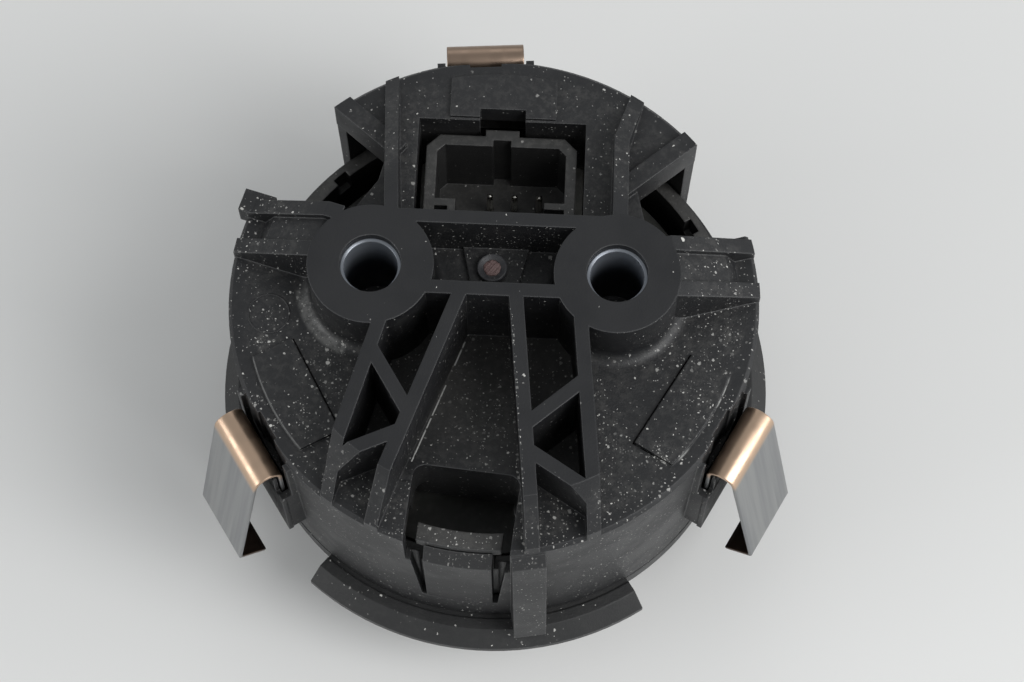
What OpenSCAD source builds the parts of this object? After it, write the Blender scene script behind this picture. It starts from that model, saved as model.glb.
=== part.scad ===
// Rotary four-wheel drive switch, a round dash module with a press-in body.
// It stands on its knob with the back of the housing up. +Z points out of the back,
// the origin is the centre of the knob's face, and X runs along the line of the two bosses.

/* [Housing] */
// Outer radius of the housing at its back edge
body_r = 26; // [25.5:0.1:27.5]
// How much the skirt narrows from the back edge down to the flange
draft = 0.4; // [0:0.1:0.5]
// Height from the front of the flange to the back edge
body_h = 26; // [25.5:0.1:28]
// Thickness of the skirt at the back edge
skirt_t = 1.3; // [1.1:0.05:1.5]
// Thickness of the back plate
plate_t = 2.2; // [1.6:0.1:2.8]
// Height of the bosses and ribs above the back edge
boss_rise = 6.5; // [5.5:0.1:7.5]

/* [Bosses] */
// Distance between the two boss centres
boss_spread = 23.7; // [23:0.1:24.4]
// Distance of the boss line behind the axis
boss_y = 0.6; // [0.3:0.1:1]
// Outer radius of a boss
boss_r = 6.1; // [5.7:0.1:6.5]
// Radius of the fillet at the foot of a boss
foot_r = 1.3; // [0.5:0.1:1.4]
// Radius of the hole through a metal sleeve
sleeve_bore_r = 2.6; // [2.4:0.05:2.75]
// Wall of a metal sleeve
sleeve_wall = 0.35; // [0.3:0.05:0.5]
// Length of a metal sleeve
sleeve_len = 12; // [10:0.5:13]
// How deep a sleeve sits below the boss face
sleeve_sink = 0.5; // [0.3:0.1:0.8]

/* [Ribs] */
// Thickness of the tall ribs
rib_t = 1.35; // [1.1:0.05:1.6]
// Radius of the arc along which the front ribs turn down to the rim
crease_r = 20.8; // [19.8:0.1:21.8]
// Height of a rib's end above the rim
rib_end = 0.9; // [0.5:0.1:1.4]
// Depth of the sunk pockets below the back edge
pocket_d = 4.6; // [3.5:0.1:5.2]
// Height of the three shallow pads
pad_h = 0.45; // [0.3:0.05:0.8]

/* [Connector] */
// Width of the connector shroud
shroud_w = 15.2; // [14.6:0.1:15.8]
// Depth of the connector shroud
shroud_d = 10.4; // [10:0.1:10.8]
// Wall of the connector shroud
shroud_t = 1.1; // [0.9:0.05:1.3]
// Distance of the shroud's mouth below the back edge
shroud_sink = 2; // [1:0.1:3]
// Gap between the back of the bosses and the connector shroud
shroud_gap = 1.3; // [1.1:0.1:1.6]
// Gap between the shroud and the opening in the back plate
bay_gap = 0.8; // [0.5:0.1:1]
// Pitch of the connector pins
pin_pitch = 2.54; // [2:0.02:2.8]
// Width of a square connector pin
pin_w = 0.64; // [0.5:0.02:0.8]

/* [Spring clips] */
// Width of a spring clip
clip_w = 7.9; // [7:0.1:8.4]
// Thickness of the spring steel
clip_t = 0.4; // [0.3:0.05:0.5]
// Radius of the roll at the top of a clip, at mid thickness
roll_r = 1.4; // [1.1:0.05:1.5]
// How far a clip's roll lies below the back edge
roll_drop = 4; // [3.5:0.1:4.5]
// Length of the outer leg of a clip
leg_len = 17.4; // [15:0.1:17.6]
// Angle at which the outer leg flares outwards
leg_flare = 11.5; // [8:0.5:12]
// Length of the lip at the end of the outer leg
lip_len = 3.3; // [2.4:0.1:3.6]
// Turn of the clips around the axis
clip_turn = 4; // [2:0.1:5]

/* [Flange] */
// How far the flange stands out from the housing's back edge
flange_out = 2.9; // [2.6:0.1:3.5]
// Thickness of the flange at its outer edge
flange_edge = 0.9; // [0.6:0.1:1.2]
// Height of the flange where it meets the skirt
flange_h = 2.5; // [2:0.1:3]
// Half the gap in the flange at each clip, in degrees
flange_gap = 17.5; // [15:0.5:20]
// How much sooner the front segment ends, in degrees
front_short = 10; // [0:1:14]

/* [Front] */
// Wall of the front housing
cup_t = 1.4; // [1.1:0.1:1.6]
// Thickness of the bezel plate
bezel_t = 2.2; // [1.6:0.1:2.6]
// How far the bezel plate's edge lies inside the housing's back edge
bezel_step = 0.7; // [0.6:0.1:1.1]
// Width of the bezel ring around the knob
bezel_w = 6.25; // [6:0.05:7]
// Width of the gap between the knob and the bezel
knob_gap = 0.45; // [0.35:0.05:0.6]

/* [Knob] */
// How far the knob stands out in front of the flange
knob_out = 10.5; // [9:0.5:13]
// Wall of the knob and thickness of its face
knob_t = 1.8; // [1.4:0.1:2.2]
// Thickness of the rubber grip ring
grip_t = 1.2; // [0.9:0.1:1.5]
// Number of ridges around the grip ring
ridges = 36; // [24:2:48]
// Width of the knob's face around its cap
cap_edge = 5.9; // [5.5:0.1:7]
// Turn between two neighbouring switch positions, in degrees
step_turn = 40; // [30:1:45]

/* [Inside] */
// Radius of the rotor's shaft where it turns in the hub
shaft_r = 4; // [3.6:0.1:4.4]
// Running clearance of the shaft in the hub, on the radius
shaft_play = 0.05; // [0.03:0.01:0.08]
// Thickness of the circuit board
board_t = 1.6; // [1.2:0.1:2]
// Gap between the circuit board's edge and the housing
board_gap = 1.2; // [1:0.1:1.6]
// Radius of the rotor disc
rotor_r = 11; // [10.5:0.1:12]

/* [Hidden] */
$fn = 96;
eps = 0.01;

// Levels along Z
flange_z = knob_out;
rim_z = flange_z + body_h;
top_z = rim_z + boss_rise;
over_z = top_z + 1;
skirt_z = flange_z + flange_h + 0.2;
cup_top = rim_z - 10;
mid_t = 2;
mid_z = flange_z + 2;
hub_top = mid_z + mid_t + 2.5;
rotor_z = hub_top + 0.3;
rotor_t = 1.8;
board_z = rotor_z + rotor_t + 2.2;
board_top = board_z + board_t;
shroud_top = rim_z - shroud_sink;
shroud_floor = 2;
pin_tip = rim_z - 8;
pit_deep = 1.6;
pit_step = 0.7;
bore_floor = top_z - sleeve_sink - sleeve_len - pit_deep;

// Radii
skirt_in = body_r - skirt_t;
skirt_low = body_r - draft;
flange_r = body_r + flange_out;
seat_in = body_r + 0.1;
seat_out = body_r + 1.3;
seat_step = 0.2;
cup_fit = 0.1;
cup_r = skirt_in - cup_fit;
cup_in = cup_r - cup_t;
hub_r = shaft_r + 2.2;
sleeve_r = sleeve_bore_r + sleeve_wall;
bezel_r = body_r - bezel_step;
bezel_in = bezel_r - bezel_w;
knob_r = bezel_in - knob_gap;
knob_core_r = knob_r - grip_t;
cap_r = knob_core_r - cap_edge;
guide_in = bezel_in + 0.9;
guide_w = 1.5;
board_r = cup_in - board_gap;

// Bosses and the bridge of two bars between them
boss_x = boss_spread / 2;
bridge_rear_y = boss_y + boss_r - 0.9;
bridge_front_y = boss_y - 2.1;
pocket_slab = 1.4;
pocket_z = rim_z - pocket_d;

// Ribs that fan out to the front: [x at the bridge, lean in degrees]
rib_left_out = [-boss_x + 2.2, -15.1];
rib_left_in = [-3, -18.9];
rib_right_in = [2.2, 6.3];
rib_right_out = [boss_x - 3.6, 6];

// Where the cross ribs meet the long ribs, counted in from the front edge
cross_y = [for (depth = [18.2, 11.8, 10, 7.1, 15.8, 11, 8.6, 4.6]) depth - body_r];
ramp_end = 7.6 - body_r;
sunk_end = 7 - body_r;

// Latch window in the front of the skirt
window_turn = 264.6;
window_w = 10.3;
window_end = 1.2;
window_in_y = body_r - 8.4;
window_deep = 19;

// Clip seats: the inner leg stands in a slot between the skirt and a low outer wall
clip_turns = [90.5 + clip_turn, 209.5 + clip_turn, 328 + clip_turn];
clip_leg_r = body_r + 0.5;
roll_z = rim_z - roll_drop;
slot_gap = 0.1;
slot_side = 0.8;
slot_half = clip_w / 2 + 0.15;
slot_wall = 0.5;
slot_low = rim_z - 17.5;
slot_mid = rim_z - 8;
slot_flat = 0.45;
clip_low = slot_low + 1.2;

// Connector bay, behind the bosses
connector_y = boss_y + boss_r + shroud_gap + shroud_d / 2;
bay_w = shroud_w + 2 * bay_gap;
bay_d = shroud_d + 2 * bay_gap;
bay_t = 1.1;
bay_low = rim_z - 10.5;
bay_key_out = 1.1;
key_w = 4.6;
key_gap = 0.6;
key_out = 0.7;
key_slot_w = 1.8;
shroud_cut = 1.3;
divider_t = 0.8;
divider_len = 2.1;
divider_in = 2.6;
pin_shift = 1.4;
pin_rise = 1.3;
pin_foot = 1.4;
pin_point = 0.5;

// Posts that carry the board, and the light guide's legs
post_turns = [45, 165, 285];
post_r = board_r - 3.8;
post_wall = 1.25;
screw_r = 0.95;
screw_len = 4;
head_r = 2;
head_h = 1.3;
led_turns = [0, 120];
led_r = guide_in + 0.25;
led_size = [2, 2.8, 1.2];
chip_size = [6, 5, 1.5];
chip_in = 13;
resistor_size = [3.2, 1.6, 0.6];
resistor_in = 6.4;

// Detent notches: the switch positions, repeated on the far side
detent_r = rotor_r - 2.7;
detent_depth = 0.5;
nose_r = 1;

module turned(angle) {
  rotate([0, 0, angle]) children();
}

module ring(outer, inner, low, high) {
  translate([0, 0, low]) difference() {
    cylinder(r = outer, h = high - low);
    translate([0, 0, -eps]) cylinder(r = inner, h = high - low + 2 * eps);
  }
}

// A straight bar in plan from point a to point b
module bar(a, b, width, low, high) {
  run = b - a;
  translate([a[0], a[1], low]) rotate([0, 0, atan2(run[1], run[0])])
    translate([0, -width / 2, 0]) cube([norm(run), width, high - low]);
}

// The solid that ribs are trimmed to: flat out to the crease, then down to the rim
module rib_envelope(crease, end = rib_end) {
  rotate_extrude() polygon([
    [0, rim_z - pocket_d - pocket_slab], [0, top_z], [crease, top_z],
    [body_r, rim_z + end], [body_r, rim_z - 1], [skirt_in + 0.2, rim_z - pocket_d - pocket_slab]
  ]);
}

// The front ribs' crease is an arc around a point in front of the axis
crease_centre = [0.5, -1.5];
crease_foot = 1.3;
crease_over = 0.5;
crease_under = 1;
crease_deep = 8;

module front_envelope() {
  foot = body_r - crease_foot;
  slope = (foot - crease_r) / (boss_rise - rib_end);
  intersection() {
    rib_envelope(body_r - 0.5, boss_rise - 0.1);
    translate(crease_centre) rotate_extrude() polygon([
      [0, rim_z - crease_deep], [0, top_z + crease_over],
      [crease_r - crease_over * slope, top_z + crease_over], [foot, rim_z + rib_end],
      [foot + slope * (rib_end + crease_under), rim_z - crease_under],
      [body_r + 3, rim_z - crease_under], [body_r + 3, rim_z - crease_deep]
    ]);
  }
}

function rib_at(rib, y) = [rib[0] + (bridge_front_y - y) * tan(rib[1]), y];

module front_rib(rib) {
  bar(rib_at(rib, bridge_front_y + 0.4), rib_at(rib, -body_r - 4), rib_t, pocket_z - pocket_slab, over_z);
}

module front_ribs() {
  intersection() {
    front_envelope();
    union() {
      front_rib(rib_left_out);
      front_rib(rib_left_in);
      front_rib(rib_right_in);
      front_rib(rib_right_out);
      bar(rib_at(rib_left_out, cross_y[0]), rib_at(rib_left_in, cross_y[1]), rib_t, pocket_z - 0.5, over_z);
      bar(rib_at(rib_left_in, cross_y[2]), rib_at(rib_left_out, cross_y[3]), rib_t, pocket_z - 0.5, over_z);
      bar(rib_at(rib_right_out, cross_y[4]), rib_at(rib_right_in, cross_y[5]), rib_t, pocket_z - 0.5, over_z);
      bar(rib_at(rib_right_in, cross_y[6]), rib_at(rib_right_out, cross_y[7]), rib_t, pocket_z - 0.5, over_z);
    }
  }
}

// Each side arm is two ribs that fall from a boss to the rim, with a deck just below their tops
arm_left = [[-boss_x - 3, 1.2], [-boss_x - 3, 5.7]];
arm_right = [[boss_x + 3, -1.4], [boss_x + 3, 3.4]];
arm_reach = 14;
arm_lean = 15.5;
arm_crease = boss_x + boss_r - 0.4;
arm_rib_t = rib_t + 0.2;
deck_sink = 0.8;
deck_r = body_r - 2;

module arm(feet, side) {
  run = [side * arm_reach * cos(arm_lean), arm_reach * sin(arm_lean)];
  intersection() {
    rib_envelope(arm_crease);
    for (foot = feet) bar(foot, foot + run, arm_rib_t, rim_z - plate_t + 0.3, over_z);
  }
  intersection() {
    translate([0, 0, -deck_sink]) rib_envelope(arm_crease);
    rotate_extrude() polygon([
      [0, 0], [deck_r, 0], [deck_r, rim_z], [deck_r - boss_rise / 2, top_z], [0, top_z]
    ]);
    translate([0, 0, rim_z - plate_t + 0.5]) linear_extrude(top_z)
      polygon([feet[0], feet[1], feet[1] + run, feet[0] + run]);
  }
}

// A nub at the outer end of the left arm's rear rib
nub_len = 3.2;
nub_w = 2.3;
nub_shift = 0.45;
nub_rise = 1.2;
nub_deep = 1.4;
nub_from_axis = 18.2;

module arm_nub() {
  way = [-cos(arm_lean), sin(arm_lean)];
  start = arm_left[1] + (body_r - nub_from_axis) * way + nub_shift * [sin(arm_lean), cos(arm_lean)];
  bar(start, start + nub_len * way, nub_w, rim_z - nub_deep, rim_z + nub_rise);
}

// Two ribs that run back from the bosses, falling to the rim
rear_crease = 13.5;
rear_end = 0.15;

module rear_ribs() {
  intersection() {
    rib_envelope(rear_crease, rear_end);
    union() {
      bar([-boss_x + 1.8, bridge_rear_y - 1], [-boss_x + 0.3, body_r], rib_t, rim_z - plate_t + 0.3, over_z);
      bar([boss_x + 0.1, bridge_rear_y - 1], [boss_x + 0.1, body_r - 9.2], rib_t + 0.15,
        rim_z - plate_t + 0.3, over_z);
      bar([boss_x + 0.1, body_r - 9.6], [boss_x + 2.6, body_r], rib_t + 0.15, rim_z - plate_t + 0.3, over_z);
    }
  }
}

module boss(side) {
  translate([side * boss_x, boss_y, 0]) {
    translate([0, 0, bore_floor - 1.4]) cylinder(r = boss_r, h = top_z - bore_floor + 1.4);
  }
}

// The fillet at the foot of a boss
module boss_foot(side) {
  translate([side * boss_x, boss_y, rim_z - 0.2]) rotate_extrude() difference() {
    square([boss_r + foot_r, foot_r + 0.2]);
    translate([boss_r + foot_r, foot_r + 0.2]) circle(r = foot_r, $fn = 32);
  }
}

module bridge() {
  bar([-boss_x, bridge_rear_y], [boss_x, bridge_rear_y], rib_t, bay_low, top_z);
  bar([-boss_x + 3, bridge_front_y], [boss_x - 3, bridge_front_y], rib_t, pocket_z - pocket_slab, top_z);
}

// The raised tongue in the bridge pocket, with the moulding's gate stub on it
module gate_stub() {
  translate([0, 0, rim_z - 0.6]) linear_extrude(1.1)
    polygon([[-3.4, bridge_rear_y], [3.4, bridge_rear_y], [1.7, bridge_front_y], [-1.7, bridge_front_y]]);
  translate([-0.3, boss_y + 2.2, rim_z - 0.6]) cylinder(r = 1.3, h = 1.7);
}

// Outline of the sunk area between the outer ribs
module sunk_plan() {
  polygon([
    rib_at(rib_left_out, bridge_front_y), rib_at(rib_right_out, bridge_front_y),
    rib_at(rib_right_out, cross_y[7]), rib_at(rib_right_in, cross_y[6]), rib_at(rib_right_in, sunk_end),
    rib_at(rib_left_in, sunk_end), rib_at(rib_left_in, cross_y[2]), rib_at(rib_left_out, cross_y[3])
  ]);
}

// The open space above the sunk floor: level pockets, and a ramp along the middle
module sunk_space() {
  translate([0, 0, pocket_z]) linear_extrude(pocket_d + 1) sunk_plan();
}

module ramp() {
  intersection() {
    translate([0, 0, pocket_z - pocket_slab]) linear_extrude(pocket_d + pocket_slab) polygon([
      rib_at(rib_left_in, bridge_front_y), rib_at(rib_right_in, bridge_front_y),
      rib_at(rib_right_in, sunk_end - 1), rib_at(rib_left_in, sunk_end - 1)
    ]);
    rotate([90, 0, 90]) translate([0, 0, -body_r]) linear_extrude(2 * body_r) polygon([
      [bridge_front_y, pocket_z], [ramp_end, rim_z - 0.2], [sunk_end - 1, rim_z - 0.2],
      [sunk_end - 1, pocket_z - pocket_slab], [bridge_front_y, pocket_z - pocket_slab]
    ]);
  }
}

module sunk_tray() {
  translate([0, 0, pocket_z - pocket_slab]) linear_extrude(pocket_slab) sunk_plan();
  intersection() {
    translate([0, 0, pocket_z - pocket_slab]) linear_extrude(pocket_d + pocket_slab - plate_t + 0.2)
      difference() {
        tray_plan();
        sunk_plan();
      }
    cylinder(r = skirt_in, h = top_z);
  }
}

// The sunk area and the wall around it, in plan
module tray_plan() {
  wall = 1;
  polygon([
    rib_at(rib_left_out, bridge_front_y) + [-wall, 0], rib_at(rib_right_out, bridge_front_y) + [wall, 0],
    rib_at(rib_right_out, cross_y[7]) + [wall, -wall], rib_at(rib_right_in, sunk_end - 1),
    rib_at(rib_left_in, sunk_end - 1), rib_at(rib_left_out, cross_y[3]) + [-wall, -wall]
  ]);
}

// A shallow pad whose outer edge follows the rim
pad_out = 1.8;
pad_in = 6.6;
pad_half = 5.3;

module pad(angle) {
  turned(angle) translate([0, 0, rim_z - 0.5]) linear_extrude(pad_h + 0.5) intersection() {
    circle(r = body_r - pad_out);
    translate([body_r - pad_in, -pad_half]) square([pad_in, 2 * pad_half]);
  }
}

// The two side notches: corner points on the plan of the back plate. The first two lie on the
// edge that a raised bar runs along
notch_left = [
  [-11.4, 15.2], [-16.8, 19.6], [-24, 25.5], [-36, 25.5], [-36, 12.4], [-24.5, 9.5], [-15.4, 7.4],
  [-12.1, 12.2]
];
notch_right = [
  [13.7, 12.2], [19.8, 17.4], [28, 24.4], [36, 24.4], [36, 11.2], [24.7, 7.8], [17.2, 5.6], [14.6, 8.6]
];
notch_deep = 13.5;
notch_bar_t = 1.9;
notch_bar_rise = 0.9;
notch_bar_deep = 3;

module notch(plan) {
  translate([0, 0, rim_z - notch_deep]) linear_extrude(notch_deep + boss_rise) polygon(plan);
}

module notch_bar(plan, side) {
  run = plan[1] - plan[0];
  across = side * (notch_bar_t / 2 - 0.1) * [run[1], -run[0]] / norm(run);
  intersection() {
    cylinder(r = body_r - 0.1, h = top_z);
    bar(plan[0] + across - 0.15 * run, plan[0] + across + 1.5 * run, notch_bar_t, rim_z - notch_bar_deep,
      rim_z + notch_bar_rise);
  }
}

module notch_walls() {
  notch_bar(notch_left, 1);
  notch_bar(notch_right, -1);
}

// The latch window: wide and round-cornered in the plate, narrowing down the skirt
window_waist = 5;
window_foot = 0.5;

module window_cut() {
  turned(window_turn - 270) {
    translate([0, 0, rim_z - plate_t - pocket_d]) linear_extrude(plate_t + pocket_d + 2) union() {
      translate([-window_w / 2, -body_r - 4]) square([window_w, body_r + 4 - window_in_y - window_end]);
      translate([-window_w / 2 + window_end, -body_r - 4])
        square([window_w - 2 * window_end, body_r + 4 - window_in_y]);
      for (side = [-1, 1]) translate([side * (window_w / 2 - window_end), -window_in_y - window_end])
        circle(r = window_end, $fn = 32);
    }
    intersection() {
      translate([0, -body_r - 4, 0]) rotate([-90, 0, 0]) linear_extrude(5.6) polygon([
        [-window_w / 2, -rim_z - 1], [window_w / 2, -rim_z - 1],
        [window_w / 2 - 0.4, -rim_z + window_waist], [finger_w / 2 + window_foot, -rim_z + window_deep],
        [-finger_w / 2 - window_foot, -rim_z + window_deep], [-window_w / 2 + 0.4, -rim_z + window_waist]
      ]);
      cylinder(r = body_r + 2, h = top_z);
    }
  }
}

// The wall that closes the inner side of the window down into the housing
window_wall_t = 1;
window_wall_deep = 9.5;

module window_wall() {
  turned(window_turn - 270)
    translate([-window_w / 2 - 0.6, -window_in_y, rim_z - window_wall_deep])
      cube([window_w + 1.2, window_wall_t, window_wall_deep - 1]);
}

// A sprung finger of the skirt, with a hooked end, that stands in the window
finger_w = 6.7;
finger_drop = 3;
hook_in_r = 23;
hook_out_r = 24.5;
hook_w = 8.3;
hook_h = 1.5;

module finger() {
  finger_top = rim_z - finger_drop;
  turned(window_turn - 270) {
    intersection() {
      rotate_extrude() polygon([
        [skirt_in + 0.1, rim_z - window_deep - 1.5], [skirt_low, rim_z - window_deep - 1.5],
        [body_r - 0.1, finger_top - 2.6], [hook_out_r + 0.3, finger_top - 0.9],
        [hook_out_r + 0.3, finger_top - hook_h], [hook_in_r + 0.5, finger_top - hook_h],
        [skirt_in + 0.1, finger_top - 2.8]
      ]);
      translate([-finger_w / 2, -body_r - 1, 0]) cube([finger_w, 8, top_z]);
    }
    intersection() {
      ring(hook_out_r + 0.2, hook_in_r, finger_top - hook_h, finger_top);
      translate([-hook_w / 2, -body_r - 1, 0]) cube([hook_w, 8, top_z]);
    }
  }
}

// The key rib on the skirt lets the module go into its hole one way round only
key_turn = 279.9;
key_rib_w = 3.3;
key_rib_out = 0.9;
key_rib_foot = 2.3;

module key_rib() {
  turned(key_turn) translate([body_r - skirt_t, key_rib_w / 2, 0]) rotate([90, 0, 0])
    linear_extrude(key_rib_w) polygon([
      [0.2, skirt_z + 0.3], [skirt_t + key_rib_foot, skirt_z + 0.3], [skirt_t + key_rib_out, rim_z - 2.6],
      [skirt_t, rim_z - 1.2], [0.2, rim_z - 1.2]
    ]);
}

// The slot that a spring clip's inner leg stands in: two side ribs, an outer wall under the
// roll, a foot, and a pad that the leg lies against
module clip_seat(angle) {
  inner = skirt_in + 0.3;
  wall_in = clip_leg_r + clip_t / 2 + slot_gap;
  wall_out = wall_in + slot_wall;
  turned(angle) {
    for (side = [-1, 1]) translate([0, side * (slot_half + slot_side / 2) + slot_side / 2, 0])
      rotate([90, 0, 0]) linear_extrude(slot_side) polygon([
        [inner, slot_low + 0.1], [wall_out - 0.1, slot_low + 0.1], [wall_out - 0.1, slot_mid],
        [body_r + 0.1, slot_mid], [body_r + 0.1, rim_z - 0.6], [inner, rim_z - 0.6]
      ]);
    translate([wall_in, -slot_half - slot_side - 0.1, slot_low])
      cube([slot_wall, 2 * (slot_half + slot_side + 0.1), slot_mid - slot_low - 0.1]);
    translate([wall_in + 0.05, -clip_w / 2 + 0.3, slot_low + 0.3])
      cube([slot_wall - 0.1, clip_w - 0.6, roll_z - 0.8 - slot_low - 0.3]);
    translate([inner, -slot_half - 0.1, slot_low + 0.2])
      cube([wall_in + 0.2 - inner, 2 * slot_half + 0.2, clip_low - slot_low - 0.3]);
    translate([inner, -1.5, slot_low + 0.2])
      cube([clip_leg_r - clip_t / 2 - slot_gap - inner, 3, slot_mid - slot_low - 2]);
  }
}

// The back edge is flat where a clip goes in, with a shallow dip in the middle
module clip_flat(angle) {
  half = slot_half - 0.05;
  dip_half = 1.6;
  turned(angle) translate([body_r, 0, slot_mid]) {
    translate([-slot_flat, -half, 0]) cube([slot_flat + 1, 2 * half, rim_z - slot_mid + 1]);
    translate([-slot_flat - 0.3, -dip_half, 0]) cube([slot_flat + 1.3, 2 * dip_half, rim_z - slot_mid + 1]);
  }
}

module rear_housing() color([0.13, 0.13, 0.14]) difference() {
  union() {
    difference() {
      union() {
        rotate_extrude() polygon([
          [skirt_in, skirt_z], [skirt_low, skirt_z], [body_r, rim_z - 0.4], [body_r - 0.35, rim_z],
          [0, rim_z], [0, rim_z - plate_t], [skirt_in, rim_z - plate_t]
        ]);
        boss_foot(-1);
        boss_foot(1);
        key_rib();
        for (turn = [90, 210, 330]) pad(turn);
      }
      sunk_space();
      window_cut();
      notch(notch_left);
      notch(notch_right);
      for (turn = clip_turns) clip_flat(turn);
    }
    for (turn = clip_turns) clip_seat(turn);
    difference() {
      sunk_tray();
      window_cut();
    }
    difference() {
      ramp();
      window_cut();
    }
    difference() {
      front_ribs();
      window_cut();
    }
    notch_walls();
    arm(arm_left, -1);
    arm(arm_right, 1);
    arm_nub();
    rear_ribs();
    boss(-1);
    boss(1);
    bridge();
    gate_stub();
    bay_walls();
    window_wall();
    finger();
  }
  for (side = [-1, 1]) translate([side * boss_x, boss_y, bore_floor]) {
    cylinder(r = sleeve_bore_r - pit_step, h = sleeve_len + 8);
    translate([0, 0, pit_deep]) cylinder(r = sleeve_r, h = sleeve_len + 8);
  }
  bay_cut();
}

// The bay around the connector, with a step for the shroud's key
module bay_walls() {
  difference() {
    translate([-bay_w / 2 - bay_t, connector_y - bay_d / 2 - bay_t, bay_low])
      cube([bay_w + 2 * bay_t, bay_d + 2 * bay_t, rim_z - bay_low - 0.3]);
    translate([0, 0, bay_low - eps]) bay_plan(rim_z - bay_low);
  }
}

module bay_plan(height) {
  translate([-bay_w / 2, connector_y - bay_d / 2, 0]) cube([bay_w, bay_d, height]);
  translate([-key_w / 2, connector_y, 0]) cube([key_w, bay_d / 2 + bay_key_out, height]);
}

module bay_cut() {
  difference() {
    translate([0, 0, bay_low - eps]) bay_plan(rim_z + 2 - bay_low);
    translate([-boss_x, boss_y, bay_low - 1])
      cube([boss_spread, bridge_rear_y + rib_t / 2 - boss_y, over_z - bay_low + 1]);
  }
}

// The cup that carries the mechanism; its flange seats on the front of the panel
module front_housing() color([0.15, 0.15, 0.16]) difference() {
  union() {
    ring(cup_r, cup_in, flange_z, cup_top);
    ring(skirt_low, cup_in, flange_z, flange_z + flange_h - seat_step - 0.15);
    flange_segments();
    translate([0, 0, mid_z]) cylinder(r = cup_in + 0.1, h = mid_t);
    translate([0, 0, mid_z + 0.5]) cylinder(r = hub_r, h = hub_top - mid_z - 0.5);
    for (turn = post_turns) turned(turn) translate([post_r, 0, mid_z + 0.5])
      cylinder(r = screw_r + post_wall, h = board_z - mid_z - 0.5);
    catch_block();
  }
  translate([0, 0, mid_z - 2]) cylinder(r = shaft_r + shaft_play, h = hub_top - mid_z + 4);
  for (turn = post_turns) turned(turn) translate([post_r, 0, board_z - screw_len - 1])
    cylinder(r = screw_r, h = screw_len + 2);
  for (turn = led_turns) turned(turn) translate([led_r, 0, mid_z - 1])
    cylinder(r = guide_leg_r + 0.2, h = mid_t + 2);
  for (turn = [24, 144]) for (side = [-1, 1]) turned(turn + side * 9)
    translate([cup_in - 0.5, -0.8, cup_top - 2.6]) cube([0.5 + cup_t / 2, 1.6, 3]);
}

// The flange's three segments, from one clip to the next: [start, end] in degrees
flange_spans = [
  [clip_turns[2] - 360 + flange_gap, clip_turns[0] - flange_gap],
  [clip_turns[0] + flange_gap, clip_turns[1] - flange_gap],
  [clip_turns[1] + flange_gap, clip_turns[2] - flange_gap - front_short]
];

module flange_segments() {
  far = 2 * flange_r;
  intersection() {
    rotate_extrude() polygon([
      [cup_r - 0.5, flange_z], [flange_r, flange_z], [flange_r, flange_z + flange_edge],
      [seat_out, flange_z + flange_h], [seat_in, flange_z + flange_h],
      [seat_in, flange_z + flange_h - seat_step], [cup_r - 0.5, flange_z + flange_h - seat_step]
    ]);
    translate([0, 0, flange_z - 1]) linear_extrude(flange_h + 2) for (span = flange_spans)
      polygon([[0, 0], for (part = [0, 0.5, 1]) let (turn = span[0] + part * (span[1] - span[0]))
        far * [cos(turn), sin(turn)]]);
  }
}

// The block under the finger's hook
module catch_block() {
  turned(window_turn - 270) intersection() {
    ring(cup_r - 0.1, cup_in + 0.1, cup_top - 1, rim_z - finger_drop - hook_h - 0.3);
    translate([-finger_w / 2, -body_r - 1, 0]) cube([finger_w, 8, top_z]);
  }
}

module sleeve(side) color([0.62, 0.65, 0.7])
  translate([side * boss_x, boss_y, 0])
    ring(sleeve_r, sleeve_bore_r, top_z - sleeve_sink - sleeve_len, top_z - sleeve_sink);

// The connector shroud stands on the board
module header_shroud() color([0.1, 0.1, 0.11]) {
  low = connector_y - shroud_d / 2;
  side = shroud_w / 2 - shroud_t + 0.1;
  floor_z = board_top + shroud_floor;
  difference() {
    union() {
      translate([0, 0, board_top]) linear_extrude(shroud_top - board_top) shroud_plan(0);
      translate([-key_w / 2 + key_gap, connector_y, board_top])
        cube([key_w - 2 * key_gap, shroud_d / 2 + key_out, shroud_top - board_top]);
    }
    translate([0, 0, floor_z]) linear_extrude(shroud_top) shroud_plan(shroud_t);
    translate([-key_slot_w / 2, connector_y, floor_z])
      cube([key_slot_w, shroud_d / 2 + key_out - shroud_t, shroud_top]);
    for (spot = pin_spots) translate([spot[0] - pin_w / 2, spot[1] - pin_w / 2, board_top - 1])
      cube([pin_w, pin_w, shroud_floor + 2]);
  }
  translate([0, low, floor_z - 0.1]) linear_extrude(shroud_top - floor_z + 0.1) {
    translate([-side, divider_in]) square([divider_len + 0.1, divider_t]);
    translate([-side + divider_len + 0.1 - divider_t, shroud_t - 0.1])
      square([divider_t, divider_in - shroud_t + 0.2]);
    translate([side - divider_len, divider_in]) square([divider_len, divider_t - 0.1]);
  }
}

module shroud_plan(inset) {
  x = shroud_w / 2 - inset;
  y = shroud_d / 2 - inset;
  cut = shroud_cut - inset / 2;
  translate([0, connector_y]) polygon([
    [-x, -y], [x, -y], [x, y - cut], [x - cut, y], [-x + cut, y], [-x, y - cut]
  ]);
}

pin_spots = [for (row = [0, 1]) for (place = [0, 1, 2])
  [pin_shift + (place - 1) * pin_pitch, connector_y + pin_rise - row * pin_pitch]];

module header_pin(index) color([0.72, 0.66, 0.5]) {
  spot = pin_spots[index];
  translate([spot[0] - pin_w / 2, spot[1] - pin_w / 2, board_z - pin_foot])
    cube([pin_w, pin_w, pin_tip - board_z + pin_foot - pin_point]);
  translate([spot[0] - pin_w / 4, spot[1] - pin_w / 4, pin_tip - pin_point - eps])
    cube([pin_w / 2, pin_w / 2, pin_point + eps]);
}

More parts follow.
